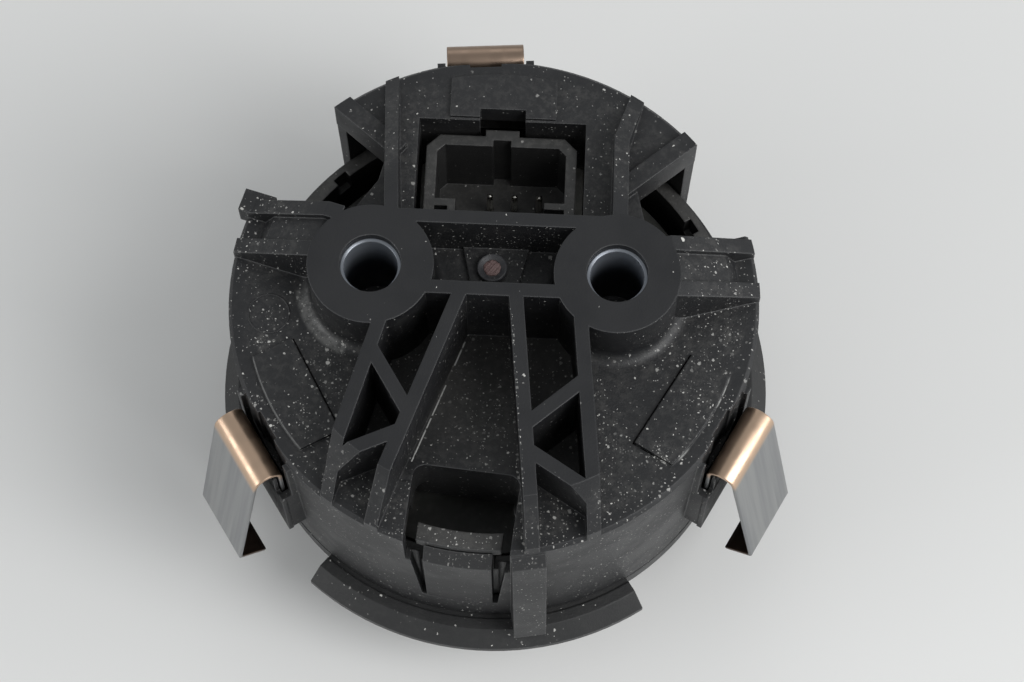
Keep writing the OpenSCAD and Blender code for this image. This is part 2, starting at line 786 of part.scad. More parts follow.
// A spring clip is one strip: inner leg, roll, flared outer leg and a lip turned inwards
module clip_section() {
  half = clip_t / 2;
  translate([clip_leg_r - half, clip_low]) square([clip_t, roll_z - clip_low]);
  translate([clip_leg_r + roll_r, roll_z]) {
    difference() {
      circle(r = roll_r + half, $fn = 48);
      circle(r = roll_r - half, $fn = 48);
      translate([-5, -10]) square([10, 10]);
    }
    translate([roll_r, 0]) rotate(leg_flare) {
      translate([-half, -leg_len]) square([clip_t, leg_len + 0.1]);
      translate([0, -leg_len]) circle(r = half, $fn = 24);
      translate([0, -leg_len]) rotate(-66) translate([-half, -lip_len]) square([clip_t, lip_len]);
    }
  }
}

module spring_clip(angle) color([0.72, 0.6, 0.48])
  turned(angle) translate([0, clip_w / 2, 0]) rotate([90, 0, 0])
    linear_extrude(clip_w) clip_section();

module circuit_board() color([0.07, 0.08, 0.08]) difference() {
  translate([0, 0, board_z]) cylinder(r = board_r, h = board_t);
  for (turn = post_turns) turned(turn) translate([post_r, 0, board_z - 1])
    cylinder(r = screw_r + 0.3, h = board_t + 2);
  for (spot = pin_spots) translate([spot[0] - pin_w / 2, spot[1] - pin_w / 2, board_z - 1])
    cube([pin_w, pin_w, board_t + 2]);
}

module board_screws() color([0.7, 0.7, 0.72])
  for (turn = post_turns) turned(turn) translate([post_r, 0, board_top]) {
    difference() {
      cylinder(r = head_r, h = head_h);
      for (angle = [0, 90]) turned(angle) translate([-1.2, -0.25, head_h / 2]) cube([2.4, 0.5, head_h]);
    }
    translate([0, 0, -board_t - screw_len]) cylinder(r = screw_r, h = board_t + screw_len + eps);
  }

module led(angle) color([0.9, 0.9, 0.82])
  turned(angle) translate([led_r - led_size[0] / 2, -led_size[1] / 2, board_z - led_size[2]]) cube(led_size);

module dimmer_resistor() color([0.08, 0.08, 0.08])
  translate([-resistor_size[0] / 2, resistor_in - board_r, board_top]) cube(resistor_size);

module sensor_chip() color([0.08, 0.08, 0.09])
  translate([chip_in - board_r, chip_in - board_r, board_top]) cube(chip_size);

// A clear ring behind the bezel, with a leg up to each lamp
guide_gap = 0.1;
guide_z = flange_z + guide_gap;
guide_t = 1.5;
guide_leg_r = 1.3;
guide_leg_z = guide_z + guide_t / 2;
lamp_gap = 0.3;

module light_guide() color([0.85, 0.9, 0.95, 0.6]) {
  ring(guide_in + guide_w, guide_in, guide_z, guide_z + guide_t);
  for (turn = led_turns) turned(turn) translate([led_r, 0, guide_leg_z])
    cylinder(r = guide_leg_r, h = board_z - led_size[2] - lamp_gap - guide_leg_z);
}

module front_bezel() color([0.16, 0.16, 0.17]) {
  rotate_extrude() polygon([
    [bezel_in, flange_z - bezel_t], [bezel_r - 0.8, flange_z - bezel_t], [bezel_r, flange_z - bezel_t + 0.8],
    [bezel_r, flange_z], [bezel_in, flange_z]
  ]);
  ring(cup_in - 0.1, cup_in - 1, flange_z - 0.1, mid_z - 0.3);
}

// A sheet spring on the middle plate; its two noses drop into the rotor's notches
module detent_spring() color([0.75, 0.76, 0.78]) {
  base = mid_z + mid_t;
  strip = 0.35;
  ring(detent_r + 1.3, detent_r - 1.3, base, base + strip);
  for (turn = [0, 180]) turned(turn) {
    for (side = [-1, 1]) translate([detent_r, side * 4, base + strip / 2])
      rotate([side > 0 ? 149 : 31, 0, 0]) translate([-0.9, 0, -strip / 2]) cube([1.8, 4.6, strip]);
    translate([detent_r, 0, base]) cylinder(r = nose_r * 0.8, h = rotor_z - base - 0.1);
    translate([detent_r, 0, rotor_z - 0.2]) cylinder(r = nose_r * 0.6, h = detent_depth + 0.1);
  }
}

// The rotor turns in the hub and carries the wiper round under the board
neck_r = shaft_r - 1;
shoulder_drop = 0.5;
clip_ring_t = 0.6;

module contact_rotor() color([0.85, 0.84, 0.78]) difference() {
  union() {
    translate([0, 0, knob_t + 1]) cylinder(r = neck_r, h = mid_z - knob_t);
    translate([0, 0, mid_z - shoulder_drop]) cylinder(r = shaft_r, h = rotor_z - mid_z + shoulder_drop + 0.1);
    translate([0, 0, rotor_z]) cylinder(r = rotor_r, h = rotor_t);
  }
  for (far = [0, 180]) for (place = [0, 1, 2]) turned(far - place * step_turn)
    translate([detent_r, 0, rotor_z - eps]) cylinder(r = nose_r, h = detent_depth + 0.2);
  for (turn = [0, 120, 240]) turned(turn + 20) translate([rotor_r - 3, 0, rotor_z + rotor_t - 0.8])
    cylinder(r = 0.6, h = 2);
}

module contact_wiper() color([0.8, 0.62, 0.35]) {
  base = rotor_z + rotor_t;
  strip = 0.3;
  ring(rotor_r - 1.4, rotor_r - 4.6, base, base + strip);
  for (turn = [0, 120, 240]) turned(turn) {
    translate([rotor_r - 3, 0, base + 0.05]) rotate([24, 0, 0]) translate([-0.65, -0.3, 0])
      cube([1.3, 4.2, strip]);
    translate([rotor_r - 3.6, 3.3, board_z - 0.75]) cube([1.2, 1, 0.65]);
  }
  for (turn = [0, 120, 240]) turned(turn + 20) translate([rotor_r - 3, 0, base - 0.8])
    cylinder(r = 0.55, h = 1.2);
}

// A spring washer on the neck keeps the rotor from lifting out of the hub
module shaft_ring() color([0.7, 0.7, 0.72]) difference() {
  ring(neck_r + 2.4, neck_r + 0.02, mid_z - shoulder_drop - 0.1 - clip_ring_t, mid_z - shoulder_drop - 0.1);
  turned(200) translate([0, -1.2, mid_z - 3]) cube([12, 2.4, 3]);
}

knob_back = flange_z + 0.6;
cap_t = 0.6;

module knob() color([0.14, 0.14, 0.15]) difference() {
  union() {
    rotate_extrude() polygon([
      [0, cap_t], [cap_r, cap_t], [cap_r, 0], [knob_core_r - 0.6, 0], [knob_core_r, 0.6],
      [knob_core_r, knob_back], [knob_core_r - knob_t, knob_back], [knob_core_r - knob_t, knob_t],
      [0, knob_t]
    ]);
    ring(knob_r, knob_core_r - 0.2, knob_back - 1.2, knob_back);
    translate([0, 0, knob_t - 0.2]) cylinder(r = neck_r + 2, h = mid_z - 1.6 - knob_t + 0.2);
    for (turn = [0:60:300]) turned(turn) translate([neck_r + 1, -0.6, knob_t - 0.2])
      cube([knob_core_r - knob_t - neck_r - 0.6, 1.2, 4]);
  }
  translate([0, 0, knob_t + 0.8]) cylinder(r = neck_r + 0.02, h = mid_z);
  turned(90) translate([cap_r + 1.2, -0.8, -1]) cube([pointer_len + 0.1, 1.6, 1.6]);
}

// A rubber ring with ridges, held between the knob's face and its skirt
module knob_grip() color([0.09, 0.09, 0.1]) {
  ring(knob_r - 0.4, knob_core_r + 0.02, 0.8, knob_back - 1.25);
  for (index = [0:ridges - 1]) turned(index * 360 / ridges)
    translate([knob_r - 0.6, -0.5, 1.4]) cube([0.6, 1, knob_back - 1.25 - 2]);
}

module knob_cap() color([0.2, 0.2, 0.21])
  rotate_extrude() polygon([[0, 0], [cap_r - 0.5, 0], [cap_r - 0.1, 0.4], [cap_r - 0.1, cap_t], [0, cap_t]]);

pointer_len = cap_edge - 2.5;

module knob_pointer() color([0.92, 0.92, 0.9])
  turned(90) translate([cap_r + 1.25, -0.75, 0.05]) cube([pointer_len, 1.5, 0.55]);

rear_housing();
front_housing();
sleeve(-1);  // sleeve_left
sleeve(1);  // sleeve_right
header_shroud();
header_pin(0);  // header_pin_1
header_pin(1);  // header_pin_2
header_pin(2);  // header_pin_3
header_pin(3);  // header_pin_4
header_pin(4);  // header_pin_5
header_pin(5);  // header_pin_6
spring_clip(clip_turns[0]);  // spring_clip_rear
spring_clip(clip_turns[1]);  // spring_clip_left
spring_clip(clip_turns[2]);  // spring_clip_right
circuit_board();
board_screws();
led(led_turns[1]);  // led_left
led(led_turns[0]);  // led_right
dimmer_resistor();
sensor_chip();
light_guide();
front_bezel();
detent_spring();
contact_rotor();
contact_wiper();
shaft_ring();
knob();
knob_grip();
knob_cap();
knob_pointer();
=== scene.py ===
# %% [markdown]
# # A four-wheel drive switch, lying on its knob
# The object is a round module from a dashboard. We look at its back: a black moulded shell with two
# bosses, a fan of ribs, a connector bay and three spring clips. The solids come from the CAD frame.
# This lesson dresses them: it gives each solid a finish, and it replaces the small bright metal parts
# by finer surfaces, because polished metal shows every facet.

# %% Load the frame
from math import radians

import bmesh
import bpy
import numpy as np
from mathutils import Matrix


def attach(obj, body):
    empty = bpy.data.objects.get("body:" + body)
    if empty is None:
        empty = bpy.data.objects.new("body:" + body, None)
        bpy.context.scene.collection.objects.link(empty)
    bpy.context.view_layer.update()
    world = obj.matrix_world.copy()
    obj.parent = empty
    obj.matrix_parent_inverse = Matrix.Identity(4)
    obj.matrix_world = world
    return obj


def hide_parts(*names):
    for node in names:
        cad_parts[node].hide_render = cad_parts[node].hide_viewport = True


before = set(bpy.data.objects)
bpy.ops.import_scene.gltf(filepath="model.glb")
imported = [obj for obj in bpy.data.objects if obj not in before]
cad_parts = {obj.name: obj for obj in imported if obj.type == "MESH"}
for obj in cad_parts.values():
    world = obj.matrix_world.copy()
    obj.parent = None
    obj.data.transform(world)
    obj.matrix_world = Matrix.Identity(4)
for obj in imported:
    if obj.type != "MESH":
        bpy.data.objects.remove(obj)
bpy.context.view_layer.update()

MM = 0.001

BOSS_TOP, RIM_Z = 42.5 * MM, 36.5 * MM  # the height of the bosses' faces and of the plate's rim
BOSS_X, BOSS_Y = 11.85 * MM, 0.6 * MM

# %% [markdown]
# ## Where we stand
# A photograph is a projection, so a render can only match it from the same place. The lens and the
# place of this camera were worked out from circles and corners of the housing. The camera looks down
# at about 69 degrees, and the object is turned by 2.5 degrees under it.

# %% Camera
camera_data = bpy.data.cameras.new("photo_camera")
camera_data.lens = 91.4
camera_data.sensor_width = 36
camera_data.clip_start = 0.01
camera = bpy.data.objects.new("photo_camera", camera_data)
camera.location = (0.0059, -0.0930, 0.2734)
camera.rotation_euler = (radians(20.54), 0, radians(2.54))
bpy.context.collection.objects.link(camera)
bpy.context.scene.camera = camera
print("camera at", tuple(round(v, 4) for v in camera.location))

# %% [markdown]
# ## Plain light
# Black plastic has almost no colour of its own. What we see is mostly the soft reflection of its
# surroundings, so the lamps are large. The strongest stands high in front and to the right, two
# stand low at the sides and draw the bright bands along the rolled clips, and a weak one behind
# catches the far edges. Together with the room they make a plain level of light: a flat floor of
# brightness 0.72 renders at about 0.72. A lamp gives a flat surface its power times the cosine of
# its slant, over pi squared and the distance squared, and that is how each power was chosen.

# %% Lamps, room and floor
bpy.context.scene.view_settings.view_transform = "Standard"


def area_lamp(name, place, aim, size, share):
    """A square area lamp at a place, turned so that it shines at a point. Its power is the one that
    adds the given share of brightness to a level white surface at that point."""
    data = bpy.data.lights.new(name, "AREA")
    data.size = size
    reach = np.array(place, float) - np.array(aim, float)
    far = np.linalg.norm(reach)
    data.energy = share * np.pi ** 2 * far ** 3 / reach[2]
    lamp = bpy.data.objects.new(name, data)
    lamp.location = place
    flat = np.hypot(reach[0], reach[1])
    lamp.rotation_euler = (np.arctan2(flat, reach[2]), 0, np.arctan2(-reach[1], -reach[0]) - np.pi / 2)
    bpy.context.collection.objects.link(lamp)
    return lamp


BODY_MIDDLE = (0, 0, 0.03)
area_lamp("key_lamp", (0.34, -0.18, 0.48), BODY_MIDDLE, 0.32, 0.36)
area_lamp("left_lamp", (-0.46, -0.17, 0.22), BODY_MIDDLE, 0.26, 0.09)
area_lamp("right_lamp", (0.46, -0.10, 0.22), BODY_MIDDLE, 0.24, 0.13)
area_lamp("back_lamp", (-0.05, 0.44, 0.30), BODY_MIDDLE, 0.26, 0.03)

world = bpy.data.worlds.new("pale_room")
bpy.context.scene.world = world
world.use_nodes = True
background = world.node_tree.nodes["Background"]
background.inputs["Color"].default_value = (0.95, 0.98, 1.0, 1)
background.inputs["Strength"].default_value = 0.46


def grid_faces(rows, cols, wrap_rows=False, wrap_cols=False):
    """The quads between neighbours on a grid of rows x cols points, as one index array."""
    i, j = np.meshgrid(np.arange(rows - (not wrap_rows)), np.arange(cols - (not wrap_cols)), indexing="ij")
    i_next, j_next = (i + 1) % rows, (j + 1) % cols
    corners = [i * cols + j, i * cols + j_next, i_next * cols + j_next, i_next * cols + j]
    return np.stack(corners, -1).reshape(-1, 4)


def make_piece(name, points, faces, uv=None, closed=True):
    """A mesh object at the origin from an array of points and quads. A closed shape is turned the
    right way out by the sign of its volume, which is the sum of the corner products of its faces."""
    points = np.asarray(points, float).reshape(-1, 3)
    a, b, c, d = (points[faces[:, k]] for k in range(4))
    volume = (np.einsum("ij,ij->i", a, np.cross(b, c)) + np.einsum("ij,ij->i", a, np.cross(c, d))).sum() / 6
    if closed and volume < 0:
        faces = faces[:, ::-1]
    mesh = bpy.data.meshes.new(name)
    mesh.from_pydata(points.tolist(), [], faces.tolist())
    if uv is not None:
        layer = mesh.uv_layers.new(name="along")
        layer.data.foreach_set("uv", np.asarray(uv, float).reshape(-1, 2)[faces.ravel()].ravel())
    mesh.polygons.foreach_set("use_smooth", np.ones(len(mesh.polygons), bool))
    piece = bpy.data.objects.new(name, mesh)
    bpy.context.collection.objects.link(piece)
    print(name, len(faces), "quads, volume", round(abs(volume) / MM ** 3, 2), "mm3")
    return piece


FLOOR_HALF, FLOOR_GRID = 1.2, 5
steps = np.linspace(-FLOOR_HALF, FLOOR_HALF, FLOOR_GRID)
x, y = np.meshgrid(steps, steps, indexing="ij")
floor_faces = grid_faces(FLOOR_GRID, FLOOR_GRID)[:, ::-1]
floor = make_piece("floor", np.stack([x, y, np.zeros_like(x)], -1), floor_faces, closed=False)

# %% [markdown]
# ## Effects that several finishes share
# Each effect is a node group with named sockets, so one drawing of it serves every material. They
# give out masks, values and normals only. The shader itself stays in the material.

# %% A small kit for node groups


def node_group(name, inputs, outputs):
    """An empty group with its sockets. Inputs are (name, kind, value) and outputs are (name, kind)."""
    group = bpy.data.node_groups.new(name, "ShaderNodeTree")
    for label, kind, value in inputs:
        socket = group.interface.new_socket(label, in_out="INPUT", socket_type=f"NodeSocket{kind}")
        socket.default_value = value
    for label, kind in outputs:
        group.interface.new_socket(label, in_out="OUTPUT", socket_type=f"NodeSocket{kind}")
    return group, group.nodes.new("NodeGroupInput").outputs, group.nodes.new("NodeGroupOutput").inputs


def wire(tree, socket, value):
    """Sets a socket to a plain value, or links it if the value is itself a socket."""
    if isinstance(value, bpy.types.NodeSocket):
        tree.links.new(value, socket)
    else:
        socket.default_value = value


def maths(tree, operation, *values, clamp=False):
    """A Math node, given back as its output socket."""
    node = tree.nodes.new("ShaderNodeMath")
    node.operation = operation
    node.use_clamp = clamp
    for socket, value in zip(node.inputs, values):
        wire(tree, socket, value)
    return node.outputs[0]


def times(tree, first, *others):
    """The product of several values."""
    for value in others:
        first = maths(tree, "MULTIPLY", first, value)
    return first


def vector(tree, operation, *values):
    """A Vector Math node. Length, distance and dot give a number, the others a vector."""
    node = tree.nodes.new("ShaderNodeVectorMath")
    node.operation = operation
    sockets = [node.inputs[0], node.inputs["Scale"]] if operation == "SCALE" else node.inputs
    for socket, value in zip(sockets, values):
        wire(tree, socket, value)
    return node.outputs["Value" if operation in ("LENGTH", "DISTANCE", "DOT_PRODUCT") else "Vector"]


def fade(tree, value, low, high, out_low=0.0, out_high=1.0):
    """A Map Range node: the value from low to high becomes out_low to out_high, with a smooth start
    and a smooth end."""
    node = tree.nodes.new("ShaderNodeMapRange")
    node.interpolation_type = "SMOOTHSTEP"
    labels = ("Value", "From Min", "From Max", "To Min", "To Max")
    for label, v in zip(labels, (value, low, high, out_low, out_high)):
        wire(tree, node.inputs[label], v)
    return node.outputs["Result"]


def noise(tree, place, scale, detail=3.0, roughness=0.55):
    """A Noise Texture's value at a place, with its scale in waves per metre."""
    node = tree.nodes.new("ShaderNodeTexNoise")
    for label, v in (("Vector", place), ("Scale", scale), ("Detail", detail), ("Roughness", roughness)):
        wire(tree, node.inputs[label], v)
    return node.outputs["Fac"]


def mixed(tree, share, first, second):
    """A colour between two colours."""
    node = tree.nodes.new("ShaderNodeMix")
    node.data_type = "RGBA"
    wire(tree, node.inputs[0], share)
    wire(tree, node.inputs[6], first)
    wire(tree, node.inputs[7], second)
    return node.outputs[2]


def object_place(tree):
    """The place in the part's own frame, in metres."""
    return tree.nodes.new("ShaderNodeTexCoord").outputs["Object"]


def in_parts(tree, place):
    """The X, Y and Z of a vector, as outputs."""
    node = tree.nodes.new("ShaderNodeSeparateXYZ")
    wire(tree, node.inputs[0], place)
    return node.outputs


def faces_up(tree, low, high):
    """How far a face looks up: 0 where the cosine of its tilt is below low, 1 where it is above high."""
    normal = tree.nodes.new("ShaderNodeNewGeometry").outputs["Normal"]
    return fade(tree, vector(tree, "DOT_PRODUCT", normal, (0, 0, 1)), low, high)


def gap_to_line(tree, place, start, end):
    """The distance from a place to a piece of straight line. It is found by sliding along the line to
    the nearest point, never past its ends, and measuring from there."""
    line = vector(tree, "SUBTRACT", end, start)
    reach = vector(tree, "SUBTRACT", place, start)
    along = maths(tree, "DIVIDE", vector(tree, "DOT_PRODUCT", reach, line),
                  vector(tree, "DOT_PRODUCT", line, line), clamp=True)
    return vector(tree, "DISTANCE", reach, vector(tree, "SCALE", line, along))


# %% [markdown]
# ### Soft edges
# A moulded edge is never perfectly sharp, and the thin light line along it tells the eye how big the
# part is. A Bevel node looks a short way around each point and gives the normal that a rounded edge
# would have. Where that normal turns away from the flat face, we are on an edge, so the difference
# also makes a mask, along which the materials paint a highlight into the colour. The painted
# highlight is strongest on the edges that face the front, where the light comes from.

# %% Group: soft_edge
# The side whose edges get the most painted highlight: the front, where the light comes from.
LIT_EDGE_SIDE = (-0.45, -0.89, 0)
tree, given, out = node_group("soft_edge", [("Radius", "Float", 0.0002), ("Reach", "Float", 0.3)],
                              [("Normal", "Vector"), ("Edge", "Float")])
bevel = tree.nodes.new("ShaderNodeBevel")
bevel.samples = 6
wire(tree, bevel.inputs["Radius"], given["Radius"])
round_normal = bevel.outputs["Normal"]
flat_normal = tree.nodes.new("ShaderNodeNewGeometry").outputs["True Normal"]
turned_away = maths(tree, "SUBTRACT", 1.0, vector(tree, "DOT_PRODUCT", round_normal, flat_normal))
to_front = fade(tree, vector(tree, "DOT_PRODUCT", round_normal, LIT_EDGE_SIDE), 0.0, 0.5, 0.25)
wire(tree, out["Normal"], round_normal)
wire(tree, out["Edge"], times(tree, fade(tree, turned_away, 0.02, given["Reach"]), to_front))
soft_edge = tree

# %% [markdown]
# ### Mould grain
# Glass-filled plastic copies the eroded surface of its steel mould: a fine even grain, with slow
# cloudy changes of gloss from how the melt flowed in.

# %% Group: mould_grain
tree, given, out = node_group("mould_grain", [("Grain", "Float", 5200.0), ("Cloud", "Float", 160.0)],
                              [("Height", "Float"), ("Cloud", "Float")])
spot = object_place(tree)
wire(tree, out["Height"], noise(tree, spot, given["Grain"], 2.0, 0.6))
wire(tree, out["Cloud"], fade(tree, noise(tree, spot, given["Cloud"], 4.0, 0.6), 0.3, 0.7))
mould_grain = tree

# %% [markdown]
# ### Settled dust
# White dust lies on faces that look up, in loose drifts. Each cell of a Voronoi texture holds one
# speck: its distance to the cell's centre gives a round dot, and the cell's own random colour decides
# whether there is a speck at all, how large it is and how white. Two flat textures serve the level
# faces, one coarse and one fine. On walls a flat texture would draw stripes, so they get a solid one.
#
# A wide noise gathers the specks into drifts. A short table of places, in millimetres on the back,
# says where they have gathered most: in corners, beside the pads and at the foot of a boss. A second
# table has lines along which they lie. The faces of the bosses and ribs are wiped almost clean, the
# rear has fewer specks than the front, and the walls have some more near their top. Under the specks
# lies a thin mottled film, which is thickest in the pockets. A small warp makes the dots uneven.

# %% Group: settled_dust
GATHERED = [  # x, y, radius, how much
    (-21.0, -2.6, 2.9, 0.45), (-22.4, -5.5, 1.8, 0.95), (-22.8, -11.2, 1.7, 0.8), (-20.6, -14.3, 1.8, 0.8),
    (-17.8, -13.0, 2.6, 0.5), (-17.3, -2.6, 2.4, 0.55), (-15.0, -5.2, 2.4, 0.6), (23.3, -2.8, 2.3, 0.8),
    (16.2, -6.6, 3.4, 0.35), (16.7, -15.3, 1.8, 1.5), (12.8, -14.6, 3.6, 0.5), (13.6, -19.3, 2.6, 0.45),
    (21.4, -14.0, 1.6, 0.8), (0.0, -13.4, 3.4, 0.55), (-2.2, -9.4, 2.6, 0.45), (-11.3, -20.5, 2.4, 0.75),
    (0.4, 6.0, 5.0, 0.4), (7.6, -21.4, 1.8, 0.7), (-8.6, -4.2, 2.6, 0.6), (-7.0, -19.6, 1.6, 0.6),
]
DUSTY_LINES = [  # start, end, half width, how much
    ((1.65, -3.0), (4.25, -27.2), 0.42, 1.0), ((6.0, -23.2), (6.6, -27.4), 0.25, 0.8),
    ((-22.7, -5.2), (-20.0, -5.5), 0.3, 1.0),
]
SPECK_LAYERS = [("2D", 1.0, 0.8), ("2D", 2.1, 0.7), ("3D", 1.8, 4.0)]  # kind, how much finer, how many
SMALLEST, SIZE_SPREAD, FAINTEST = 0.12, 0.22, 0.14  # of a cell's width, and of full white
WARP = 0.35 * MM  # how far the dots are pushed out of round
WIPED_DEPTH, LEFT_ON_TOP = 1.0 * MM, 0.03  # wiping ends this far below the top and leaves this share
REAR_FROM, REAR_TO, REAR_SHARE = 8.0 * MM, 13.0 * MM, 0.4  # along Y
WALL_DEPTH, WALL_SHARE = 3.0 * MM, 0.5  # the upper part of the walls
POCKET_TOP, POCKET_LOW, POCKET_FILM = 36.4 * MM, 33.6 * MM, 0.6  # along Z
SKIRT_R, INSIDE_R, SKIRT_FILM = 25.0 * MM, 24.2 * MM, 0.25  # the film is thinner outside the rim
WARP_WAVES, DRIFT_WAVES, MOTTLE_WAVES = 3500.0, 110.0, 1300.0  # per metre


def on_back(point):
    """A point of the plan, given in millimetres, as a vector in metres."""
    return (point[0] * MM, point[1] * MM, 0)


tree, given, out = node_group(
    "settled_dust", [("Cell", "Float", 1500.0), ("Amount", "Float", 0.3), ("Top", "Float", BOSS_TOP)],
    [("Specks", "Float"), ("Film", "Float")])
spot = object_place(tree)
on_plan = vector(tree, "MULTIPLY", spot, (1, 1, 0))
place = in_parts(tree, spot)
looks_up = faces_up(tree, 0.35, 0.75)
warp = tree.nodes.new("ShaderNodeTexNoise")
wire(tree, warp.inputs["Vector"], spot)
wire(tree, warp.inputs["Scale"], WARP_WAVES)
push = vector(tree, "SUBTRACT", warp.outputs["Color"], (0.5, 0.5, 0.5))
shifted = vector(tree, "ADD", spot, vector(tree, "SCALE", push, WARP))

drift = fade(tree, noise(tree, spot, DRIFT_WAVES, 3.0, 0.6), 0.36, 0.66, 0.05, 0.42)
for *centre, radius, much in GATHERED:
    away = vector(tree, "DISTANCE", on_plan, on_back(centre))
    drift = maths(tree, "MAXIMUM", drift, fade(tree, away, 0.0, radius * MM, much, 0.0))
below_top = fade(tree, place["Z"], given["Top"], maths(tree, "SUBTRACT", given["Top"], WIPED_DEPTH))
wiped = maths(tree, "ADD", times(tree, below_top, 1 - LEFT_ON_TOP), LEFT_ON_TOP)
cleaner_rear = fade(tree, place["Y"], REAR_FROM, REAR_TO, 1.0, REAR_SHARE)
share = times(tree, given["Amount"], cleaner_rear, drift, wiped)
for start, end, half, much in DUSTY_LINES:
    gap = gap_to_line(tree, on_plan, on_back(start), on_back(end))
    share = maths(tree, "MAXIMUM", share, fade(tree, gap, half * MM, 0.3 * half * MM, 0.0, much))

wall_low = maths(tree, "SUBTRACT", given["Top"], WALL_DEPTH)
near_top = fade(tree, place["Z"], wall_low, given["Top"], 0.0, WALL_SHARE)
specks = 0.0
for kind, finer, many in SPECK_LAYERS:
    likely, seen = times(tree, share, many), looks_up
    if kind == "3D":
        likely, seen = maths(tree, "MAXIMUM", likely, near_top), maths(tree, "SUBTRACT", 1.0, looks_up)
    cells = tree.nodes.new("ShaderNodeTexVoronoi")
    cells.voronoi_dimensions = kind
    wire(tree, cells.inputs["Vector"], shifted)
    wire(tree, cells.inputs["Scale"], times(tree, given["Cell"], finer))
    chance = tree.nodes.new("ShaderNodeSeparateColor")
    wire(tree, chance.inputs[0], cells.outputs["Color"])
    present = times(tree, maths(tree, "LESS_THAN", chance.outputs[0], likely), seen)
    mostly_small = maths(tree, "POWER", chance.outputs[1], 3.0)
    size = maths(tree, "ADD", SMALLEST, times(tree, mostly_small, SIZE_SPREAD))
    dot = fade(tree, cells.outputs["Distance"], size, times(tree, size, 0.5))
    mostly_faint = maths(tree, "POWER", chance.outputs[2], 1.6)
    white = maths(tree, "ADD", FAINTEST, times(tree, mostly_faint, 1 - FAINTEST))
    specks = maths(tree, "MAXIMUM", specks, times(tree, dot, present, white))
wire(tree, out["Specks"], specks)

mottle = fade(tree, noise(tree, spot, MOTTLE_WAVES, 4.0, 0.7), 0.42, 0.68, 0.15, 1.0)
in_pockets = fade(tree, place["Z"], POCKET_TOP, POCKET_LOW, 0.0, POCKET_FILM)
film = maths(tree, "ADD", times(tree, maths(tree, "ADD", 0.25, drift), below_top, mottle), in_pockets)
inside = fade(tree, vector(tree, "LENGTH", on_plan), SKIRT_R, INSIDE_R, SKIRT_FILM, 1.0)
level = maths(tree, "ADD", 0.4, times(tree, looks_up, 0.6))
wire(tree, out["Film"], maths(tree, "MULTIPLY", times(tree, film, inside), level, clamp=True))
settled_dust = tree

# %% [markdown]
# ### A scratch
# A scratch is a thin line: all that is nearer to a piece of straight line than its half width, broken
# here and there by a noise. The line is drawn in plan, so it stays off the upright walls, where it
# would come out as a whole upright sheet.

# %% Group: scratch
tree, given, out = node_group(
    "scratch", [("Start", "Vector", (0, 0, 0)), ("End", "Vector", (0, 0.01, 0)),
                ("Half width", "Float", 0.00006)],
    [("Mask", "Float")])
on_plan = vector(tree, "MULTIPLY", object_place(tree), (1, 1, 0))
gap = gap_to_line(tree, on_plan, given["Start"], given["End"])
drawn = fade(tree, gap, given["Half width"], times(tree, given["Half width"], 0.4))
broken = fade(tree, noise(tree, on_plan, 1400.0, 2.0), 0.28, 0.46)
wire(tree, out["Mask"], times(tree, drawn, broken, faces_up(tree, 0.5, 0.8)))
scratch = tree

# %% [markdown]
# ### A pale arc of dust and painted highlight
# The shallow pads on the back have an outer edge that follows the rim, and a white line lies along
# parts of it: white dust, and in part a painted highlight of the edge. A softer pale band on the foot of
# the left boss is a painted highlight of the light that falls there, with some dust. In polar
# terms such a line is easy: the distance from its radius, and the angle between its two ends. The
# two ends fade, and a noise breaks the line as much as the material asks for.

# %% Group: an arc of dust and painted highlight
END_FADE = 0.06
tree, given, out = node_group(
    "dust_and_highlight_arc", [("Centre", "Vector", (0, 0, 0)), ("Radius", "Float", 0.024), ("From", "Float", 0.0),
                 ("To", "Float", 1.0), ("Half width", "Float", 0.0001), ("Break", "Float", 1.0)],
    [("Mask", "Float")])
on_plan = vector(tree, "MULTIPLY", object_place(tree), (1, 1, 0))
from_centre = vector(tree, "SUBTRACT", on_plan, given["Centre"])
place = in_parts(tree, from_centre)
angle = maths(tree, "ARCTAN2", place["Y"], place["X"])
between = times(tree, fade(tree, maths(tree, "SUBTRACT", angle, given["From"]), 0.0, END_FADE),
                fade(tree, maths(tree, "SUBTRACT", given["To"], angle), 0.0, END_FADE))
too_far = maths(tree, "SUBTRACT", vector(tree, "LENGTH", from_centre), given["Radius"])
gap = maths(tree, "ABSOLUTE", too_far)
drawn = fade(tree, gap, given["Half width"], times(tree, given["Half width"], 0.4))
unbroken = maths(tree, "SUBTRACT", 1.0, given["Break"])
broken = fade(tree, noise(tree, from_centre, 1100.0, 4.0, 0.7), 0.38, 0.56, unbroken, 1.0)
wire(tree, out["Mask"], times(tree, drawn, between, broken))
dust_and_highlight_arc = tree

# %% [markdown]
# ### Rolled metal
# Strip steel keeps fine lines from the rolls. A noise that is stretched far along one direction
# draws them. The direction comes with the place that the material hands in.

# %% Group: rolled_metal
tree, given, out = node_group("rolled_metal", [("Place", "Vector", (0, 0, 0)), ("Lines", "Float", 9000.0)],
                              [("Height", "Float"), ("Tone", "Float")])
wire(tree, out["Height"], noise(tree, given["Place"], given["Lines"], 3.0, 0.65))
wide = noise(tree, given["Place"], times(tree, given["Lines"], 0.08), 4.0, 0.6)
wire(tree, out["Tone"], fade(tree, wide, 0.3, 0.7))
rolled_metal = tree
print("groups:", [g.name for g in bpy.data.node_groups])

# %% [markdown]
# ## Finishes
# A finish starts from a Principled shader with its constants set on its own sockets. The groups then
# vary its colour, its roughness and its normal over the surface.

# %% A helper for finishes


